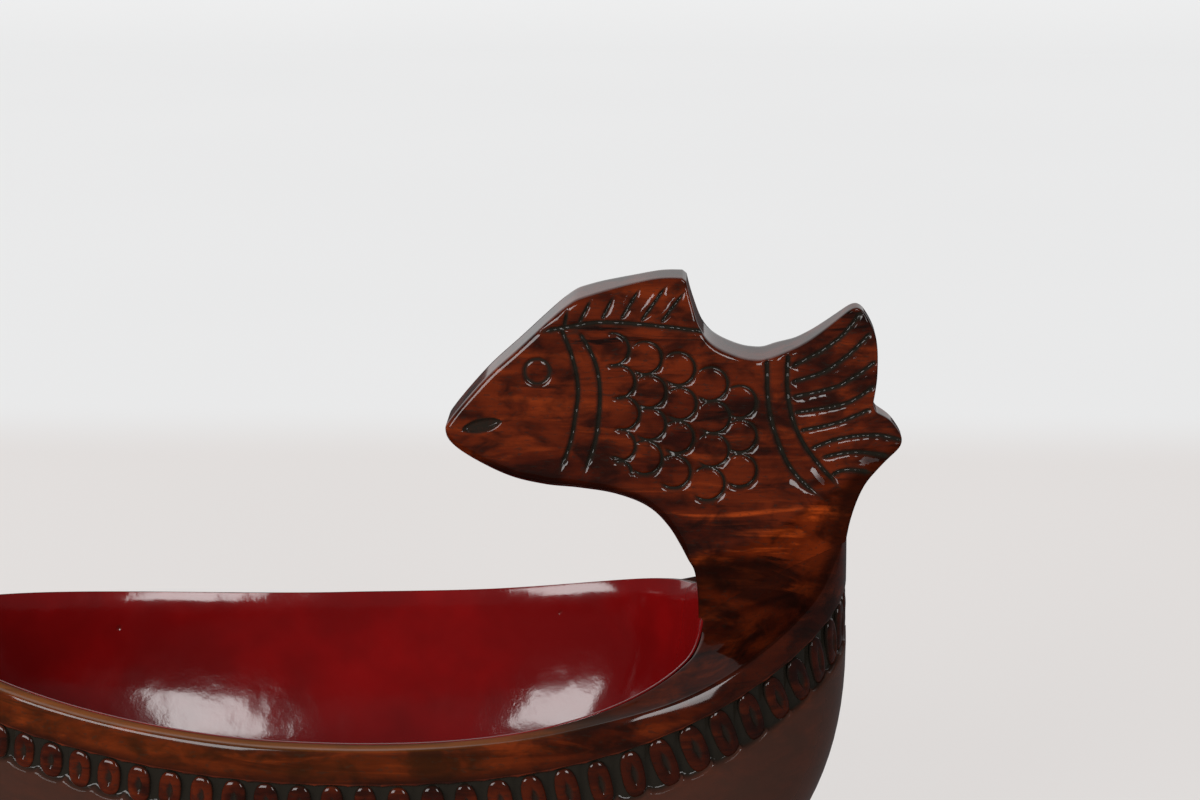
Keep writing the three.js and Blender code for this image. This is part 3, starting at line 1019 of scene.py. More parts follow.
bead_inputs = {
    "Count": ("Int", BEADS),
    "Width": ("Float", BEAD_WIDTH * MM),
    "Left height": ("Float", BEAD_HEIGHT_SHARE * BAND_LEFT_HEIGHT * MM),
    "Right height": ("Float", BEAD_HEIGHT_SHARE * BAND_RIGHT_HEIGHT * MM),
    "Rise": ("Float", (BAND_DEPTH + 0.08) * MM),
    "Root": ("Float", 1.0 * MM),
    "Hollow depth": ("Float", 1.15 * MM),
    "Material": ("Material", wood_bowl),
}
bead_tree, given, bead_keys = new_tree("bead_band", bead_inputs)
start = Wire(bead_tree)

ball, at_z, across, cos_a, sin_a = unit_ball(start, 30, 20)
reach = across * squared_reach(cos_a, sin_a, BEAD_SQUARENESS)
bead_u = cos_a * reach * given["Width"] * 0.5
bead_v = sin_a * reach * given["Right height"] * 0.5
leaf_u = abs(bead_u - given["Width"] * LEAF_SHIFT) / (given["Width"] * LEAF_WIDTH)
leaf_v = bead_v / (given["Right height"] * LEAF_LENGTH)
leaf = (1 - leaf_v * leaf_v).clamp() - leaf_u
upper = at_z.above(0.0)
face_height = (abs(at_z) ** BEAD_FULLNESS) * given["Rise"]
face_height = face_height - leaf.step(-0.15, 0.75) * given["Hollow depth"]
bead_w = upper * face_height - (1 - upper) * abs(at_z) ** 0.5 * given["Root"]
side_stain = (1 - (at_z / 0.34).clamp()) * 0.9
stain = (leaf.step(0.05, 0.6) * upper * 0.85).most(side_stain)
bead = moved_to(store(ball, "cut", stain), start.join(bead_u, bead_v, bead_w))

# %% Beads along the band
line = {"Curve": given["Geometry"], "Count": given["Count"]}
spots = start.node("GeometryNodeResampleCurve", None, line)
tangent = start.node("GeometryNodeInputTangent")
outward = start.vector("CROSS_PRODUCT", tangent, (0.0, 0.0, 1.0))
facing = start.node(
    "FunctionNodeAxesToRotation",
    {"primary_axis": "Z", "secondary_axis": "X"},
    {"Primary Axis": outward, "Secondary Axis": tangent},
)
tilt = dice_wire(start, (-0.03, -0.05, -0.07), (0.03, 0.05, 0.07), 3)
hand_size = dice_wire(start, (0.90, 0.95, 0.88), (1.04, 1.03, 1.05), 8)
spot_x = start.node("GeometryNodeInputPosition").split()[0]
spot_share = (spot_x / MM - LEFT_END_X) / (SEAT_OUT_X - LEFT_END_X)
left_share = given["Left height"] / given["Right height"]
shorter = left_share + spot_share * (1 - left_share)
bead_scale = start.vector("MULTIPLY", hand_size, start.join(1.0, shorter, 1.0))
turned = start.node(
    "FunctionNodeRotateRotation",
    {"rotation_space": "LOCAL"},
    {"Rotation": facing, "Rotate By": start.node("FunctionNodeEulerToRotation", None, {0: tilt})},
)
beads_set = start.node(
    "GeometryNodeInstanceOnPoints",
    None,
    {"Points": spots, "Instance": bead, "Rotation": turned, "Scale": bead_scale},
)
real = start.node("GeometryNodeRealizeInstances", None, {"Geometry": beads_set})
bead_x = start.node("GeometryNodeInputPosition").split()[0] / MM
darker = 0.42 + bead_x.step(10.0, 100.0) * 0.42
close_tree(bead_tree, store(real, "dark", darker), given["Material"])
print("the tree of the beads has", len(bead_tree.nodes), "nodes")

# %% The beads
band_curve = bpy.data.curves.new("band_line", "CURVE")
band_curve.dimensions = "3D"
band_spline = band_curve.splines.new("POLY")
band_spline.points.add(COLUMNS - 1)
band_spline.use_cyclic_u = True
middle_line = wall_points(turn, BAND_TOP + band_foot(turn) / 2, BAND_DEPTH)
for point, spot in zip(band_spline.points, middle_line):
    point.co = (*(spot * MM), 1)
band_line = in_scene("band_line", band_curve)
beads = grow("rim_beads", band_line, bead_tree, bead_keys, bead_inputs)
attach(beads, "root")
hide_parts("bowl_body")

# %% [markdown]
# ## The lining
#
# The coat of lacquer is a thin skin whose shape follows a rule, so it is grown from a ball: the
# upper half of the ball is pushed down into the hollow, and the lower half becomes the back of
# the coat, a lacquer's thickness behind it. The formulas of the plan, the rim, the flare and the
# seat are written on wires here, and the rings of the ball crowd towards the lip, where the coat
# bends most.

# %% Lining tree
LIP_CROWDING = 2.2
LIP_BACK = 0.25

lining_inputs = {
    "Right length": ("Float", float(HOLLOW["right"])),
    "Left length": ("Float", float(HOLLOW["left"])),
    "Half width": ("Float", float(HOLLOW["half"])),
    "Thickness": ("Float", LACQUER - 0.04),
    "Floor": ("Float", FLOOR + LACQUER),
    "Lip flare": ("Float", LIP_FLARE),
    "Lip depth": ("Float", LIP_DEPTH),
    "Wall roundness": ("Float", HOLLOW_ROUNDNESS),
    "Material": ("Material", lacquer_paint),
}
lining_tree, given, lining_keys = new_tree("lacquer_lining", lining_inputs)
start = Wire(lining_tree)
ball, at_z, across, cos_a, sin_a = unit_ball(start, 320, 176)
back = (-at_z).above(1e-5)
depth_share = abs(at_z.of("ARCCOSINE") * (2 / math.pi) - 1) ** LIP_CROWDING
bend = depth_share * (math.pi / 2)
wall_power = 2.0 / given["Wall roundness"]
ring_share = bend.of("COSINE").most(0.0) ** wall_power
ring_drop = bend.of("SINE") ** wall_power

right_side = cos_a.above(-1e-6)
stretch = squared_reach(cos_a, sin_a, HOLLOW_RIGHT_ROUNDNESS)
left_cos = abs(cos_a) ** (2 / LEFT_ALONG)
left_sin = sin_a.of("SIGN") * abs(sin_a) ** (2 / LEFT_ACROSS)


def plan_wires(grown):
    """The plan outline of the hollow, grown outwards, measured from the widest place."""
    half_width = given["Half width"] + grown
    right_x = (given["Right length"] + grown) * cos_a * stretch
    left_x = -(given["Left length"] + grown) * left_cos
    plan_x = right_side * right_x + (1 - right_side) * left_x
    plan_y = half_width * (right_side * sin_a * stretch + (1 - right_side) * left_sin)
    return plan_x, plan_y


# %% The edge of the lining and what hangs from it
coat = back * given["Thickness"]
edge_x, edge_y = plan_wires(coat)
edge_x = edge_x + WIDEST_X
to_right = (edge_x - RIM_LOWEST_X).above(0.0)
rise_right = abs(edge_x - RIM_LOWEST_X) / (SEAT_OUT_X - RIM_LOWEST_X)
rise_left = abs(edge_x - RIM_LOWEST_X) / (RIM_LOWEST_X - LEFT_END_X)
bare = (
    RIM_LOW
    + to_right * RIGHT_RIM_RISE * rise_right ** RIGHT_RIM_CURVE
    + (1 - to_right) * LEFT_RIM_RISE * rise_left ** LEFT_RIM_CURVE
)
beside = (abs(edge_y) - FISH_HALF).most(0.0).least(FLARE_RADIUS)
flare_bend = (FLARE_RADIUS ** 2 - (FLARE_RADIUS - beside) ** 2).most(0.0)
flare = FLARE_RADIUS - flare_bend.of("SQRT")
flare = flare * edge_x.step(SEAT_IN_X - FLARE_RADIUS, SEAT_IN_X)
seat = SEAT_IN_Z + (edge_x - SEAT_IN_X) * SEAT_SLOPE
edge_z = (bare + flare).least(bare.most(seat)) - back * LIP_BACK

below = (edge_z - given["Floor"] + coat) * ring_drop
faded = (-below / given["Lip depth"]).of("EXPONENT")
plan_x, plan_y = plan_wires(coat - given["Lip flare"] * (1 - faded))
centre = FOOT_CENTRE_X + (WIDEST_X - FOOT_CENTRE_X) * ring_share
places = (centre + ring_share * plan_x, ring_share * plan_y, edge_z - below)
skin = moved_to(ball, start.join(*(place * MM for place in places)))
real = start.node("GeometryNodeRealizeInstances", None, {"Geometry": skin})
close_tree(lining_tree, real, given["Material"])
print("the tree of the lining has", len(lining_tree.nodes), "nodes")

# %% The lining
lining_seed = in_scene("lining_seed", bpy.data.meshes.new("lining_seed"))
lining = grow("lining", lining_seed, lining_tree, lining_keys, lining_inputs)
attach(lining, "root")
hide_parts("lacquer_lining")

# %% [markdown]
# ## The outline of the fish
#
# The fish is sawn from a board and then carved, so its outline comes first. The points are the
# same as in the solid: each stretch is a smooth curve through its points, and the stretches meet
# in corners, at the fin, the tips of the tail and the notch between them. Then a file rounds each
# corner, which is done here by pulling its points towards the middle of their neighbours. The
# tips of the tail are rounded most and the fin hardly at all.

# %% Outline of the fish
NOSE = [-120.9, 35]
FIN_CORNER = [-49.6, 82.6]
TAIL_TIP = [1.5, 75.8]
TAIL_NOTCH = [6.1, 42.9]
LOBE_TIP = [16.8, 33.3]
BELLY_LINE = [
    [-45.6, -9.5], [-48.4, -4], [-54, 5.5], [-60.5, 11.8], [-70, 15.5],
    [-80.9, 17.2], [-91, 18.1], [-101, 20.4], [-110.6, 24.9], [-118.4, 30.3],
]
HEAD_LINE = [
    [-119, 39.2], [-109, 51], [-99.2, 60.2], [-85.2, 73.1], [-77.3, 77.1], [-59.6, 82.1],
]
BACK_LINE = [
    [-47.6, 74.3], [-45.2, 67.1], [-41.7, 62.5], [-35.7, 59.3], [-29.8, 57.8], [-24, 58.5],
    [-12.6, 64.3],
]
UPPER_LOBE_LINE = [[6.6, 66.2], [7.5, 54]]
LOWER_LOBE_LINE = [[12, 39.6]]
NECK_LINE = [[9.2, 25.6], [4.2, 19.4], [1, 11.8], [-0.4, 4.8]]
NECK_FOOT = [-0.8, -1.4]
INNER_START = [SEAT_IN_X - SEAT_OUT_X, SEAT_IN_Z - 7.4 - float(rim_height(SEAT_OUT_X))]
STEP = 0.5

# Each corner, and over how many millimetres of the outline it is rounded
CORNERS = [(FIN_CORNER, 0.45), (TAIL_TIP, 5.0), (TAIL_NOTCH, 1.0), (LOBE_TIP, 4.0)]
FILE_STROKES = 60


def curve_through(points, steps=24):
    """A smooth curve through points, with each point's direction taken from its neighbours."""
    points = np.asarray(points, float)
    padded = np.concatenate([points[:1], points, points[-1:]])
    share = np.linspace(0, 1, steps, endpoint=False)[:, None]
    bends = []
    for a, b, c, d in zip(padded, padded[1:], padded[2:], padded[3:]):
        v, w = (c - a) / 2, (d - b) / 2
        cube = (2 * b - 2 * c + v + w) * share ** 3
        bends.append(cube + (-3 * b + 3 * c - 2 * v - w) * share ** 2 + v * share + b)
    return np.concatenate([*bends, points[-1:]])


def evenly(path, spacing):
    """The same path with points at an even spacing, and both its ends kept."""
    along = np.concatenate([[0], np.cumsum(np.linalg.norm(np.diff(path, axis=0), axis=1))])
    count = max(2, int(round(along[-1] / spacing)) + 1)
    spots = np.linspace(0, along[-1], count)
    return np.stack([np.interp(spots, along, path[:, i]) for i in (0, 1)], axis=-1)


# %% Stretches of the outline
stretches = [
    [INNER_START, *BELLY_LINE, NOSE, *HEAD_LINE, FIN_CORNER],
    [FIN_CORNER, *BACK_LINE, TAIL_TIP],
    [TAIL_TIP, *UPPER_LOBE_LINE, TAIL_NOTCH],
    [TAIL_NOTCH, *LOWER_LOBE_LINE, LOBE_TIP],
    [LOBE_TIP, *NECK_LINE, NECK_FOOT],
]
origin = np.array([SEAT_OUT_X, float(rim_height(SEAT_OUT_X))])
curves = [curve_through(stretch) + origin for stretch in stretches]


def above_seat(path):
    """The part of a path above the seat, with the crossing itself as its end."""
    gap = path[:, 1] - seat_height(path[:, 0])
    keep = path[gap > 0]
    k = int(np.argmax(gap > 0)) if gap[0] <= 0 else int(np.argmax(gap <= 0))
    share = gap[k - 1] / (gap[k - 1] - gap[k])
    crossing = path[k - 1] + (path[k] - path[k - 1]) * share
    return np.concatenate([[crossing], keep] if gap[0] <= 0 else [keep, [crossing]])


curves[0] = above_seat(curves[0])
curves[4] = above_seat(curves[4])
even = [evenly(path, STEP) for path in curves]
edge_line = np.concatenate([path[:-1] for path in even] + [even[-1][-1:]])

# %% Filed corners
steps_along = np.arange(len(edge_line)) * STEP
near_corner = np.zeros(len(edge_line))
for corner, wide in CORNERS:
    at = int(np.argmin(np.hypot(*(edge_line - origin - corner).T))) * STEP
    near_corner = np.maximum(near_corner, np.exp(-(((steps_along - at) / wide) ** 2)))
for _ in range(FILE_STROKES):
    middle = (edge_line[:-2] + edge_line[2:]) / 2
    edge_line[1:-1] += 0.5 * near_corner[1:-1, None] * (middle - edge_line[1:-1])
seat_line = evenly(np.array([edge_line[-1], edge_line[0]]), STEP)[1:-1]
inner_foot, outer_foot = edge_line[0], edge_line[-1]
print("the fish's outline has", len(edge_line), "points above its seat")

# %% [markdown]
# ## Thickness of the fish
#
# The board is twenty millimetres thick. It is thinned towards the top of the fin and the tips of
# the tail, it flares where the neck grows out of the shoulder, and its edges are rounded, most of
# all below the belly. The camera looks down on the fish, so where the board is thinner its face
# is lowered by a little, to keep the outline in the same place in the picture.

# %% Thickness
THIN_FIN = 6.8
THIN_TAIL = 3.4
THIN_LOBE = 2.0
LOWERED = math.tan(CAMERA_RISE)
TAIL_ROOT = np.array([124.0, 169.0])


def board_half(x, z):
    """Half the thickness of the plain board."""
    fin = smoothstep(x, 66, 92) * (1 - smoothstep(x, 108, 118)) * smoothstep(z, 197, 211)
    away = np.hypot(x - TAIL_ROOT[0], z - TAIL_ROOT[1])
    behind = smoothstep(x, 126, 134)
    low = 1 - smoothstep(z, 160, 182)
    tail = np.clip((away - 9) / mix(37.0, 34.0, low), 0, 1) ** 1.15 * behind
    tail = tail * smoothstep(z, 146, 158)
    thin = mix(THIN_TAIL, THIN_LOBE, low)
    return FISH_HALF - fin * (FISH_HALF - THIN_FIN) - tail * (FISH_HALF - thin)


def neck_half(x, z):
    """Half the thickness with the neck's flare above the shoulder."""
    bare = bare_height(x, np.maximum(x - SEAT_IN_X, 0))
    reach = flare_reach(np.maximum(z - bare, 0)) * (z < bare + FLARE_RADIUS)
    return board_half(x, z) + reach


# %% Rounded edges
# Places along the outline, and the radius of the edge there
ROUND_PLACES = [
    (106.1, 113.0, 0.5), (103.5, 122.0, 1.8), (98.0, 133.0, 3.0), (88.0, 142.0, 3.6),
    (75.0, 146.0, 4.2), (55.0, 148.5, 4.6), (40.0, 153.5, 4.2), (31.5, 160.0, 3.4),
    (29.1, 164.5, 2.4), (34.0, 172.5, 1.9), (50.0, 189.5, 1.8), (66.0, 203.0, 1.9),
    (80.0, 209.0, 1.7), (99.0, 212.1, 0.9), (101.5, 206.0, 0.9), (105.0, 196.5, 1.2),
    (112.0, 189.5, 1.6), (125.0, 187.5, 1.5), (140.0, 194.5, 1.3), (151.0, 205.0, 0.7),
    (156.6, 195.7, 0.8), (157.5, 183.5, 0.8), (156.1, 172.5, 0.6), (162.0, 169.0, 1.0),
    (166.8, 162.8, 0.9), (159.2, 155.1, 1.6), (154.2, 149.0, 2.3), (151.4, 143.3, 2.0),
    (150.2, 139.5, 1.2), (149.5, 136.0, 0.5),
]
round_spots = np.array(ROUND_PLACES)
edge_steps = np.linalg.norm(np.diff(edge_line, axis=0), axis=1)
edge_along = np.concatenate([[0], np.cumsum(edge_steps)])
nearest = [int(np.argmin(np.hypot(*(edge_line - spot[:2]).T))) for spot in round_spots]
edge_radius = np.interp(edge_along, edge_along[nearest], round_spots[:, 2])
print("the edges are rounded by", edge_radius.min(), "to", edge_radius.max(), "mm")

# %% [markdown]
# ## The carving
#
# Every cut on the face is a line on the flat board and a profile across it. A plain groove has
# the round bottom of a gouge and worn shoulders. A scale is an arc that opens towards the head:
# its inner wall is steep, its outer wall is a longer slope, and where two arcs would cross, the
# scale nearer the head lies on top.

# %% Lines of the carving
GILL_FRONT = [(63.6, 197.1), (67.1, 187.7), (68.8, 178.3), (67.9, 169.4), (66.4, 161.3),
              (63.1, 152.0)]
GILL_BACK = [(69.2, 195.4), (73.3, 187.8), (75.1, 180.2), (75.1, 171.3), (73.6, 160.8),
             (70.0, 150.8)]
FIN_BASE = [(57.0, 195.2), (65.3, 196.8), (75.9, 198.4), (90.6, 197.6), (106.0, 195.9)]
FIN_RAYS = [
    [(65.9, 203.0), (64.7, 196.9)], [(73.0, 206.0), (69.2, 198.2)],
    [(79.5, 206.9), (75.9, 199.3)], [(87.1, 209.1), (81.5, 199.4)],
    [(95.0, 210.2), (87.4, 198.8)], [(100.3, 208.3), (93.4, 198.6)],
]
TAIL_FRONT = [(124.6, 187.2), (125.0, 176.4), (126.7, 166.9), (131.0, 156.1), (136.2, 149.6),
              (141.4, 145.6)]
TAIL_BACK = [(130.9, 189.0), (130.6, 180.4), (131.9, 171.5), (135.0, 163.3), (140.2, 155.9),
             (147.2, 148.3)]
TAIL_RAYS = [
    [(131.4, 185.2), (141.3, 190.8), (147.6, 196.0), (152.6, 203.0)],
    [(131.3, 180.6), (141.1, 183.8), (149.2, 189.7), (155.6, 196.6)],
    [(131.8, 176.1), (146.2, 179.9), (157.6, 187.9)],
    [(132.0, 171.3), (148.1, 174.4), (157.2, 180.3)],
    [(134.0, 165.8), (146.4, 168.6), (156.4, 173.1)],
    [(137.6, 160.2), (147.4, 163.7), (158.3, 164.7), (166.1, 163.0)],
    [(141.0, 157.6), (150.8, 159.4), (162.0, 158.4)],
    [(143.6, 151.6), (148.5, 153.8), (156.4, 153.4)],
]
EYE = (56.7, 183.4)
MOUTH = ((33.9, 165.2), (46.2, 168.2))
SCALE_RADIUS = 4.95
SCALE_COLUMNS = [
    [(78.9, 190.3), (80.6, 180.4), (81.8, 170.7), (80.8, 160.8)],
    [(88.5, 187.7), (89.8, 177.5), (89.9, 167.5), (88.6, 157.1)],
    [(98.3, 184.5), (98.9, 173.8), (98.2, 163.5), (97.2, 152.8)],
    [(107.9, 179.9), (108.9, 169.8), (108.5, 159.6), (107.3, 149.2)],
    [(116.6, 174.6), (116.8, 164.0), (116.9, 153.4)],
]
LAST_ARC = [(78.4, 157.4), (81.5, 156.5), (84.2, 154.4), (84.9, 151.4)]

# Each groove: its line, half its width, its depth, and how far its ends run out
GROOVES = [
    (GILL_FRONT, 1.35, 1.25, (1.5, 5)),
    (GILL_BACK, 1.35, 1.2, (1.5, 7)),
    (FIN_BASE, 1.4, 1.35, (4, 0.5)),
    (TAIL_FRONT, 1.5, 1.4, (0.5, 5)),
    (TAIL_BACK, 1.45, 1.4, (0.5, 5)),
    (LAST_ARC, 1.0, 0.9, (1.5, 1.5)),
    *[(ray, 1.05, 1.1, (3.5, 0.8)) for ray in FIN_RAYS],
    *[(ray, 1.35, 1.15, (2, 2)) for ray in TAIL_RAYS],
]

# %% Distance to a line


def to_line(points, line):
    """Distance from points to a line, and where along it the nearest place is, in mm."""
    best = np.full(len(points), 1e9)
    place = np.zeros(len(points))
    start = 0.0
    for a, b in zip(line, line[1:]):
        step = b - a
        length = float(np.hypot(*step))
        t = np.clip(((points - a) @ step) / length ** 2, 0, 1)
        gap = np.hypot(*(points - a - t[:, None] * step).T)
        closer = gap < best
        best = np.where(closer, gap, best)
        place = np.where(closer, start + t * length, place)
        start += length
    return best, place, start


def gouge(gap, half_width):
    """The round-bottomed profile of a gouge cut, from 1 on its line to 0 at its edge."""
    t = np.clip(1 - gap / half_width, 0, 1)
    return t * t * (3 - 2 * t)


def near_box(points, line, margin):
    """Which points lie in the box round a line; the rest needn't be measured."""
    low, high = line.min(axis=0) - margin, line.max(axis=0) + margin
    return np.all((points >= low) & (points <= high), axis=1)


smooth_grooves = [
    (evenly(curve_through(line, 8), 1.0), *gouge_sizes) for line, *gouge_sizes in GROOVES
]
print("the face has", len(GROOVES), "grooves and", sum(map(len, SCALE_COLUMNS)), "scales")

# %% Cutting the grooves
SHOULDER_WIDTH = 2.4
SHOULDER_SHARE = 0.28


def carve_grooves(points, chance):
    """Depth and stain of the plain grooves, cut with a hand's uneven pressure."""
    deep, stain = np.zeros(len(points)), np.zeros(len(points))
    for line, width, depth, (lead, tail) in smooth_grooves:
        hit = near_box(points, line, width * SHOULDER_WIDTH)
        gap, place, length = to_line(points[hit], line)
        a, b = chance.uniform(0, 6, 2)
        hand = 1 + 0.10 * np.sin(place * 0.8 + a) + 0.08 * np.sin(place * 1.9 + b)
        ends = smoothstep(place, -0.5, lead) * smoothstep(length - place, -0.5, tail)
        size = 0.35 + 0.65 * ends
        profile = gouge(gap, width * size)
        worn_edge = gouge(gap, width * size * SHOULDER_WIDTH) * SHOULDER_SHARE
        cross = np.maximum(profile, worn_edge) + 0.25 * profile * worn_edge
        deep[hit] = np.maximum(deep[hit], cross * depth * hand * ends)
        stained = smoothstep(profile, 0.08, 0.72) * (0.3 + 0.7 * ends)
        stain[hit] = np.maximum(stain[hit], stained)
    return deep, stain


# %% Cutting the scales
SCALE_DEPTH = 1.35
INNER_WALL = 0.7
OUTER_WALL = 1.9
ARC_ENDS = (-0.9, -0.4)
FIRST_ARC_ENDS = (-0.42, 0.02)


def scale_walls(over, low_right):
    """The cut across a scale's arc and its stain, wider and deeper at the scale's low right."""
    outer_wall = mix(1.25, OUTER_WALL / 1.2, low_right)
    wall = np.clip(np.where(over < 0, 1 + over / INNER_WALL, 1 - over / outer_wall), 0, 1)
    profile = np.where(over < 0, wall * wall * (3 - 2 * wall), wall ** 1.1)
    mark = np.where(over < 0, 1 + over / 0.5, 1 - over / mix(0.8, 1.5, low_right))
    return profile * mix(0.8, 1.1, low_right), smoothstep(mark, 0.0, 0.85)


def carve_scales(points, deep, stain, chance):
    """Adds the scales, column by column from the head, and the dimples where three meet."""
    covered = np.zeros(len(points), bool)
    edges = []
    for number, column in enumerate(SCALE_COLUMNS):
        inside = np.zeros(len(points), bool)
        fade = smoothstep(points[:, 0], 73.5, 78.5) if number == 0 else 1.0
        arc_ends = FIRST_ARC_ENDS if number == 0 else ARC_ENDS
        for spot in column:
            gap = np.hypot(*(points - spot).T)
            radius = SCALE_RADIUS + 0.15 * chance.uniform(-1, 1)
            depth = SCALE_DEPTH * (1 + 0.12 * chance.uniform(-1, 1))
            over = gap - radius
            to_tail, to_back = ((points - spot) / np.maximum(gap, 1e-6)[:, None]).T
            facing = smoothstep(to_tail, *arc_ends)
            low_right = 0.5 + 0.5 * (0.8 * to_tail - 0.6 * to_back)
            profile, mark = scale_walls(over, low_right)
            in_sight = np.where(covered, 0, fade * facing)
            deep = np.maximum(deep, profile * in_sight * depth)
            stain = np.maximum(stain, mark * in_sight)

            slope = np.clip((spot[0] + 2.0 - points[:, 0]) / radius, 0, 1.6)
            crown = 0.22 * (gap / radius) ** 2 + 0.30 * slope ** 2
            crown = crown * fade * mix(smoothstep(-over, 0, 2.6), 1, facing)
            inner = (gap < radius) & ~covered
            deep = np.where(inner, np.maximum(deep, crown), deep)
            inside |= gap < radius
            edges.append(over)
        covered |= inside
    nearby = np.sort(np.array(edges), axis=0)[:3]
    dimple = (nearby[0] > 0) * (1 - smoothstep(nearby[2], 0.9, 2.2))
    return np.maximum(deep, dimple * 0.45), np.maximum(stain, dimple * 0.15)


# %% Cutting the eye and the mouth
EYE_RING = 3.75
PUPIL = 2.8
LIP_HALF = 2.75


def carve_eye(points, deep, stain):
    """Adds a ring with a low round pupil in it."""
    gap = np.hypot(*(points - EYE).T)
    ring = gouge(np.abs(gap - EYE_RING), 1.05)
    pupil = 0.12 + 0.35 * np.clip(gap / PUPIL, 0, 1) ** 3
    deep = np.maximum(deep, ring)
    deep = np.where(gap < PUPIL, np.maximum(deep, pupil), deep)
    return deep, np.maximum(stain, smoothstep(ring, 0.2, 0.7))


def carve_mouth(points, deep, stain):
    """Adds a leaf-shaped cut, deepest along its middle."""
    front, back = np.array(MOUTH)
    half = np.hypot(*(back - front)) / 2
    along = (back - front) / (2 * half)
    u = (points - (front + back) / 2) @ along / half
    v = (points - (front + back) / 2) @ np.array([-along[1], along[0]])
    lip = LIP_HALF * np.clip(1 - u * u, 0, 1) ** 0.8
    leaf = np.clip(1 - np.abs(v) / np.maximum(lip, 1e-3), 0, 1) * (np.abs(u) < 1)
    deep = np.maximum(deep, smoothstep(leaf, 0, 0.75) * 1.35 * np.clip(lip / 1.6, 0, 1))
    return deep, np.maximum(stain, smoothstep(leaf, 0.02, 0.30) * 0.9)


def carve(points, seed):
    """Depth of the carving at points of the face, and how much stain stays there."""
    chance = np.random.default_rng(seed)
    deep, stain = carve_grooves(points, chance)
    deep, stain = carve_scales(points, deep, stain, chance)
    deep, stain = carve_eye(points, deep, stain)
    return carve_mouth(points, deep, stain)


# %% [markdown]
# ## The face as a net of points
#
# The cuts are narrower than any even grid could follow, so the net gets rows of points along
# each cut and each rounded edge first. The rest is filled with an even grid, and all the points
# are joined into triangles that keep the outline as their border. The spacings are as fine as a
# piece of fewer than two hundred thousand triangles allows.

# %% Distance to the outline


def inward(line):
    """Normals of the closed outline that point into the fish."""
    ahead = np.roll(line, -1, axis=0) - line
    back = line - np.roll(line, 1, axis=0)
    ahead /= np.linalg.norm(ahead, axis=1)[:, None]
    back /= np.linalg.norm(back, axis=1)[:, None]
    along = ahead + back
    along /= np.linalg.norm(along, axis=1)[:, None]
    return np.stack([along[:, 1], -along[:, 0]], axis=-1)


border = np.concatenate([edge_line, seat_line])
area = np.sum(border[:, 0] * np.roll(border[:, 1], -1) - border[:, 1] * np.roll(border[:, 0], -1))
inward_normal = inward(border)[:len(edge_line)] * (-1 if area > 0 else 1)


def search_tree(points):
    """A tree that finds the nearest of these points quickly."""
    made = KDTree(len(points))
    for i, (x, z) in enumerate(points):
        made.insert((x, z, 0), i)
    made.balance()
    return made


edge_tree = search_tree(evenly(edge_line, 0.1))
coarse_tree = search_tree(edge_line)


def edge_gap(points):
    """Distance of points to the outline, without the seat."""
    return np.array([edge_tree.find((x, z, 0))[2] for x, z in points])


def inside_border(points):
    """Which points lie inside the outline: a line from them crosses it an odd number of times."""
    x, z = points.T
    inside = np.zeros(len(points), bool)
    for (ax, az), (bx, bz) in zip(border, np.roll(border, -1, axis=0)):
        if az == bz:
            continue
        crossing = ((az > z) != (bz > z)) & (x < (bx - ax) * (z - az) / (bz - az) + ax)
        inside ^= crossing
    return inside


# %% Points of the face
GRID = 0.46
ALONG_CUT = 0.36
ACROSS_CUT = (0, -0.3, 0.3, -0.6, 0.6, -1, 1)
SCALE_RINGS = (0, -0.3, 0.35, -INNER_WALL, 0.8, 1.4, OUTER_WALL)
EYE_RINGS = (0.9, 1.8, 2.7, 3.2, 3.75, 4.3, 4.8)
RING_TURNS = np.linspace(0, math.pi / 2, 7)[1:]


def circle(centre, radius, spacing):
    """Points on a circle at about an even spacing."""
    turns = np.arange(0, 2 * math.pi, spacing / radius)
    return np.array(centre) + radius * np.stack([np.cos(turns), np.sin(turns)], -1)


ring_points = []
for turn_share in RING_TURNS:
    offset = edge_radius * (1 - math.cos(turn_share))
    ring = edge_line + inward_normal * offset[:, None]
    ring = ring[1:-1]
    gap = edge_gap(ring)
    keep = (gap > offset[1:-1] * 0.97 - 0.01) & (ring[:, 1] > seat_height(ring[:, 0]) + 0.2)
    ring_points.append(ring[keep])

cut_points = []
for line, width, depth, ends in smooth_grooves:
    line = evenly(line, ALONG_CUT)
    along = np.gradient(line, axis=0)
    across = np.stack([-along[:, 1], along[:, 0]], axis=-1)
    across /= np.linalg.norm(across, axis=1)[:, None]
    cut_points += [line + across * side * width for side in ACROSS_CUT]
for spot in sum(SCALE_COLUMNS, []):
    cut_points += [circle(spot, SCALE_RADIUS + over, ALONG_CUT) for over in SCALE_RINGS]
cut_points += [circle(EYE, radius, 0.4) for radius in EYE_RINGS]

low, high = border.min(axis=0), border.max(axis=0)
rows = np.arange(low[1], high[1], GRID * math.sqrt(3) / 2)
grid = []
for i, z in enumerate(rows):
    xs = np.arange(low[0] + (i % 2) * GRID / 2, high[0], GRID)
    grid.append(np.stack([xs, np.full(len(xs), z)], axis=-1))
grid = np.concatenate(grid)


# %% Thinning the points
CELL = 0.5
AROUND = [(a, b) for a in (-1, 0, 1) for b in (-1, 0, 1)]


def thinned(groups):
    """Keeps a point only where no earlier point is closer than its group's own distance."""
    kept, chosen = {}, []
    for points, space in groups:
        for x, z in points.tolist():
            i, j = int(x // CELL), int(z // CELL)
            close = [spot for a, b in AROUND for spot in kept.get((i + a, j + b), ())]
            if all((px - x) ** 2 + (pz - z) ** 2 >= space * space for px, pz in close):
                kept.setdefault((i, j), []).append((x, z))
                chosen.append((x, z))
    return np.array(chosen)


def clear_of_border(points, gap):
    """The points inside the outline that keep a distance from it and from the seat."""
    points = points[inside_border(points)]
    return points[(edge_gap(points) > gap) & (points[:, 1] > seat_height(points[:, 0]) + 0.2)]


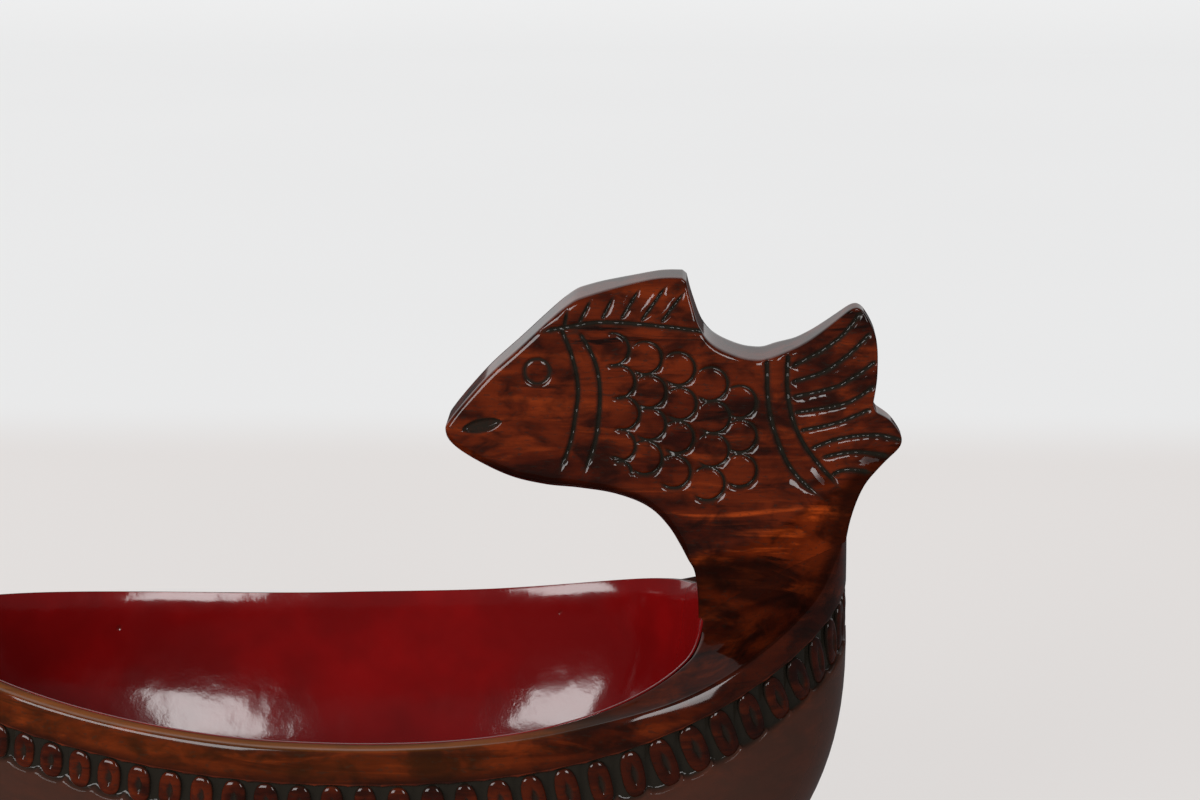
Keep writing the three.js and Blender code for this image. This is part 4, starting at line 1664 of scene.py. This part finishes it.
extra = clear_of_border(np.concatenate(cut_points), 0.15)
grid = clear_of_border(grid, 0.30)
net = thinned([(border, 0), (np.concatenate(ring_points), 0.09), (extra, 0.25), (grid, 0.36)])
print("the net of the face has", len(net), "points")

# %% Triangles of the face
loop = [(i, (i + 1) % len(border)) for i in range(len(border))]
flat = [Vector(p) for p in net.tolist()]
joined = delaunay_2d_cdt(flat, loop, [], 1, 1e-5)
sheet = np.array([tuple(p) for p in joined[0]])
triangles = np.array(joined[2])
print("joined into", len(triangles), "triangles")

# %% [markdown]
# ## From the flat sheet to the board
#
# The net is still flat. Each point gets half the board's thickness less the rounding of the edge
# and the depth of the carving, once for the front and once for the back, with other random
# numbers. Then the sheet is stood up, and its foot leans with the plan of the bowl, so that the
# neck's ends continue the edge of the hollow and the outer wall.

# %% Height of the face
reach = edge_gap(sheet)
reach[:len(edge_line)] = 0
close_edge = [coarse_tree.find((x, z, 0))[1] for x, z in sheet]
local_radius = edge_radius[close_edge]


def dressed_half(points, gap, radius, seed, side):
    """Half the thickness at points of a face, after rounding, carving and the hand's waviness."""
    x, z = points.T
    half = neck_half(x, z)
    near_edge = np.clip(radius - gap, 0, None)
    half = half - (radius - np.sqrt(np.clip(radius ** 2 - near_edge ** 2, 0, None)))
    deep, stain = carve(points, seed)
    inner = smoothstep(gap, 0.0, 0.9)
    above = smoothstep(z - seat_height(x), 2, 8)
    waves = np.sin(x * 0.21 + 1.3 * side) * np.sin(z * 0.27 + 0.4)
    waves = waves + 0.6 * np.sin(x * 0.5 - z * 0.43)
    return half - deep * mix(0.35, 1, inner) - 0.10 * (1 + waves) * inner * above, stain


def lean(x, y):
    """How far the neck's two ends curve back with the plan of the bowl, at a distance y."""
    share = np.clip((x - inner_foot[0]) / (outer_foot[0] - inner_foot[0]), 0, 1)
    inner_shift = HOLLOW["right"] - outline_x(y, HOLLOW)
    outer_shift = OUTER["right"] - NECK_EDGE_INSET - outline_x(y, OUTER, -NECK_EDGE_INSET)
    return mix(inner_shift, outer_shift, share)


def stand_up(points, y, thin):
    """Places in the room for points of the board at a distance y from its middle."""
    x, z = points.T
    foot = 1 - smoothstep(z - seat_height(x), 4, 30)
    shift = lean(x, y) * foot
    lowered = LOWERED * (FISH_HALF - np.minimum(thin, FISH_HALF))
    seated = 1 - smoothstep(z - seat_height(x), 0, 12)
    return np.stack([x - shift, y, z - lowered - shift * SEAT_SLOPE * seated], axis=-1)


# %% The two faces in the room
thin = board_half(*sheet.T)
front_half, front_stain = dressed_half(sheet, reach, local_radius, 11, 1)
back_half, back_stain = dressed_half(sheet, reach, local_radius, 12, -1)
on_seat = np.arange(len(sheet)) >= len(edge_line)
on_seat &= np.arange(len(sheet)) < len(border)
foot_x = sheet[:, 0]
for _ in range(3):
    foot_half = seam_half(foot_x)
    foot_x = sheet[:, 0] - lean(sheet[:, 0], foot_half)
front_half = np.where(on_seat, foot_half, front_half)
back_half = np.where(on_seat, foot_half, back_half)
front = stand_up(sheet, -front_half, thin)
back = stand_up(sheet, back_half, thin)
print("the face is", round(2 * float(front_half.min()), 1), "mm thick at its thinnest")

# %% [markdown]
# ## Closing the fish
#
# The two carved faces are joined round the border by a strip of quads. Along the outline it is
# the sawn edge of the board, and along the seat it is the hidden underside, which lies on the
# bowl. The edges of the seat stay sharp.

# %% Faces of the fish
STRIP_COLUMNS = 10
rim = len(border)
share = np.linspace(0, 1, STRIP_COLUMNS + 1)[1:-1]
strip = []
for t in share:
    y = mix(-front_half[:rim], back_half[:rim], t)
    strip.append(stand_up(sheet[:rim], y, thin[:rim]))
fish_points = np.concatenate([front, back, *strip])
count = len(sheet)

outward_first = np.cross(
    sheet[triangles[0][1]] - sheet[triangles[0][0]], sheet[triangles[0][2]] - sheet[triangles[0][0]]
)
if outward_first < 0:
    triangles = triangles[:, ::-1]
fish_faces = triangles.tolist()
fish_faces += (triangles[:, ::-1] + count).tolist()


def strip_index(column, i):
    """Number of a point of the strip, whose first and last columns belong to the faces."""
    if column == 0:
        return i
    if column == STRIP_COLUMNS:
        return count + i
    return 2 * count + (column - 1) * rim + i


clockwise = area < 0
for i in range(rim):
    j = (i + 1) % rim
    for column in range(STRIP_COLUMNS):
        quad = [strip_index(column, i), strip_index(column, j),
                strip_index(column + 1, j), strip_index(column + 1, i)]
        fish_faces.append(quad if clockwise else quad[::-1])

seat_edge = set(range(len(edge_line) - 1, rim)) | {0}
sharp = []
for i in sorted(seat_edge):
    j = (i + 1) % rim
    if j in seat_edge:
        sharp += [(i, j), (count + i, count + j)]
for i in (0, len(edge_line) - 1):
    for column in range(STRIP_COLUMNS):
        sharp.append((strip_index(column, i), strip_index(column + 1, i)))

print("the strip round the fish has", rim * STRIP_COLUMNS, "quads")

# %% [markdown]
# ## Where the fish is dark and dull
#
# The rounded edge below the belly and the back edge of the neck turn away from the light, and the
# wood there is darkened as painted shade. The flare of the neck is dull, as the shoulder round it
# is, and so are two places on the lower lobe of the tail, where the varnish sank in.

# %% Layers of the fish
SUNK_SPOTS = ((156.5, 157.0, 4.2), (142.5, 150.6, 3.2))

x, z = sheet.T
# Painted shade below the belly, on its rounded edge that faces down
belly_shade = smoothstep(x, 34, 46) * (1 - smoothstep(x, 100, 110)) * (1 - smoothstep(z, 155, 166))
belly_shade = belly_shade * (1 - smoothstep(reach, 1.6, 5.2))
# Painted shade along the rounded back edge of the neck, which turns away from the light
behind = smoothstep(x, 136, 142) * (1 - smoothstep(z, 150, 164))
behind = behind * (1 - smoothstep(reach, 3.0, 8.0))
sheet_painted_shade = np.maximum(belly_shade * 0.95, behind * 0.85)
sheet_dull = smoothstep(neck_half(x, z) - board_half(x, z), 0.02, 0.5)
for spot_x, spot_z, size in SUNK_SPOTS:
    spot_gap = np.hypot(x - spot_x, z - spot_z)
    sheet_dull = np.maximum(sheet_dull, 0.9 * np.exp(-(spot_gap / size) ** 4))


def all_round(front_layer, back_layer, border_layer):
    """A layer of both faces, and of the strip between them, as one list for the mesh."""
    return np.concatenate([front_layer, back_layer, *[border_layer] * (STRIP_COLUMNS - 1)])


fish_layers = {
    "cut": all_round(front_stain, back_stain, np.zeros(rim)),
    "dark": all_round(sheet_painted_shade, sheet_painted_shade, sheet_painted_shade[:rim]),
    "dull": all_round(sheet_dull, sheet_dull, sheet_dull[:rim]),
}

# %% The fish
fish = make_mesh("fish", fish_points, fish_faces, wood_fish, sharp, fish_layers)
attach(fish, "root")
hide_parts("fish_handle")

# %% [markdown]
# ## Floor, backdrop and light
#
# The dish stands on a pale sweep of card, as in a studio. The card grows cooler and lighter with
# distance and stands well behind the dish, so that the dish can also be looked at from its back.
# Two tall soft boxes stand like windows behind the camera: the right one gives the highlights on
# the left of the lacquer, and the left one those on the right. A dim room fills the rest.

# %% Floor and backdrop
FLOOR_FRONT = -2600
FLOOR_BACK = 2000
WALL_TOP = 4500
SWEEP_RADIUS = 60
SWEEP_HALF = 2800
CARD_FLOOR = (0.770, 0.738, 0.722, 1)
CARD_WALL = (0.838, 0.840, 0.842, 1)
CARD_CONSTANTS = {
    "Base Color": (0.17, 0.17, 0.17, 1),
    "Roughness": 0.9,
    "Specular IOR Level": 0.0,
    "Emission Strength": 0.86,
}

card, card_shader, wire, place = new_finish("pale_card", CARD_CONSTANTS)
card_tone = place.split()[1].step(0.52, 0.63).colour(CARD_FLOOR, CARD_WALL)
card_mottle = noise(wire, place, 2.5, 2, 0.5) * 0.03 + 0.985
card_inputs = {0: card_tone, "Scale": card_mottle}
card_white = wire.node("ShaderNodeVectorMath", {"operation": "SCALE"}, card_inputs)
feed(card_shader, {"Emission Color": card_white})

bend = np.linspace(0, math.pi / 2, 24)
sweep_y = FLOOR_BACK + SWEEP_RADIUS * np.sin(bend)
sweep_z = SWEEP_RADIUS * (1 - np.cos(bend))
floor_line = [(FLOOR_FRONT, 0.0), (FLOOR_BACK, 0.0)]
wall_line = [*zip(sweep_y, sweep_z), (sweep_y[-1], WALL_TOP)]


def card_strip(name, line):
    """A wide strip of card along a line of places and heights."""
    points = [(x, y, z) for y, z in line for x in (-SWEEP_HALF, SWEEP_HALF)]
    faces = [(2 * i, 2 * i + 1, 2 * i + 3, 2 * i + 2) for i in range(len(line) - 1)]
    strip = make_mesh(name, points, faces, card)
    return strip


floor = card_strip("studio_floor", floor_line)
card_strip("studio_wall", wall_line)
floor.visible_glossy = False

# %% Lights
DISH_MIDDLE = Vector((20, 0, 60)) * MM


def soft_box(name, turn, rise, distance, width, height, watts):
    """A rectangular light that faces the dish, from two angles in degrees."""
    data = bpy.data.lights.new(name, "AREA")
    data.shape = "RECTANGLE"
    data.size = width
    data.size_y = height
    data.energy = watts
    lamp = in_scene(name, data)
    stand_back(lamp, DISH_MIDDLE, math.radians(turn), math.radians(rise), distance)


soft_box("window_right", 25.5, 24, 4.0, 1.08, 1.6, 50)
soft_box("window_left", -41, 21, 4.0, 2.45, 1.6, 106)

room = bpy.data.worlds.new("room")
bpy.context.scene.world = room
room.use_nodes = True
room.node_tree.nodes["Background"].inputs["Color"].default_value = (0.95, 0.97, 1.0, 1)
room.node_tree.nodes["Background"].inputs["Strength"].default_value = 0.09
bpy.context.scene.view_settings.view_transform = "Standard"
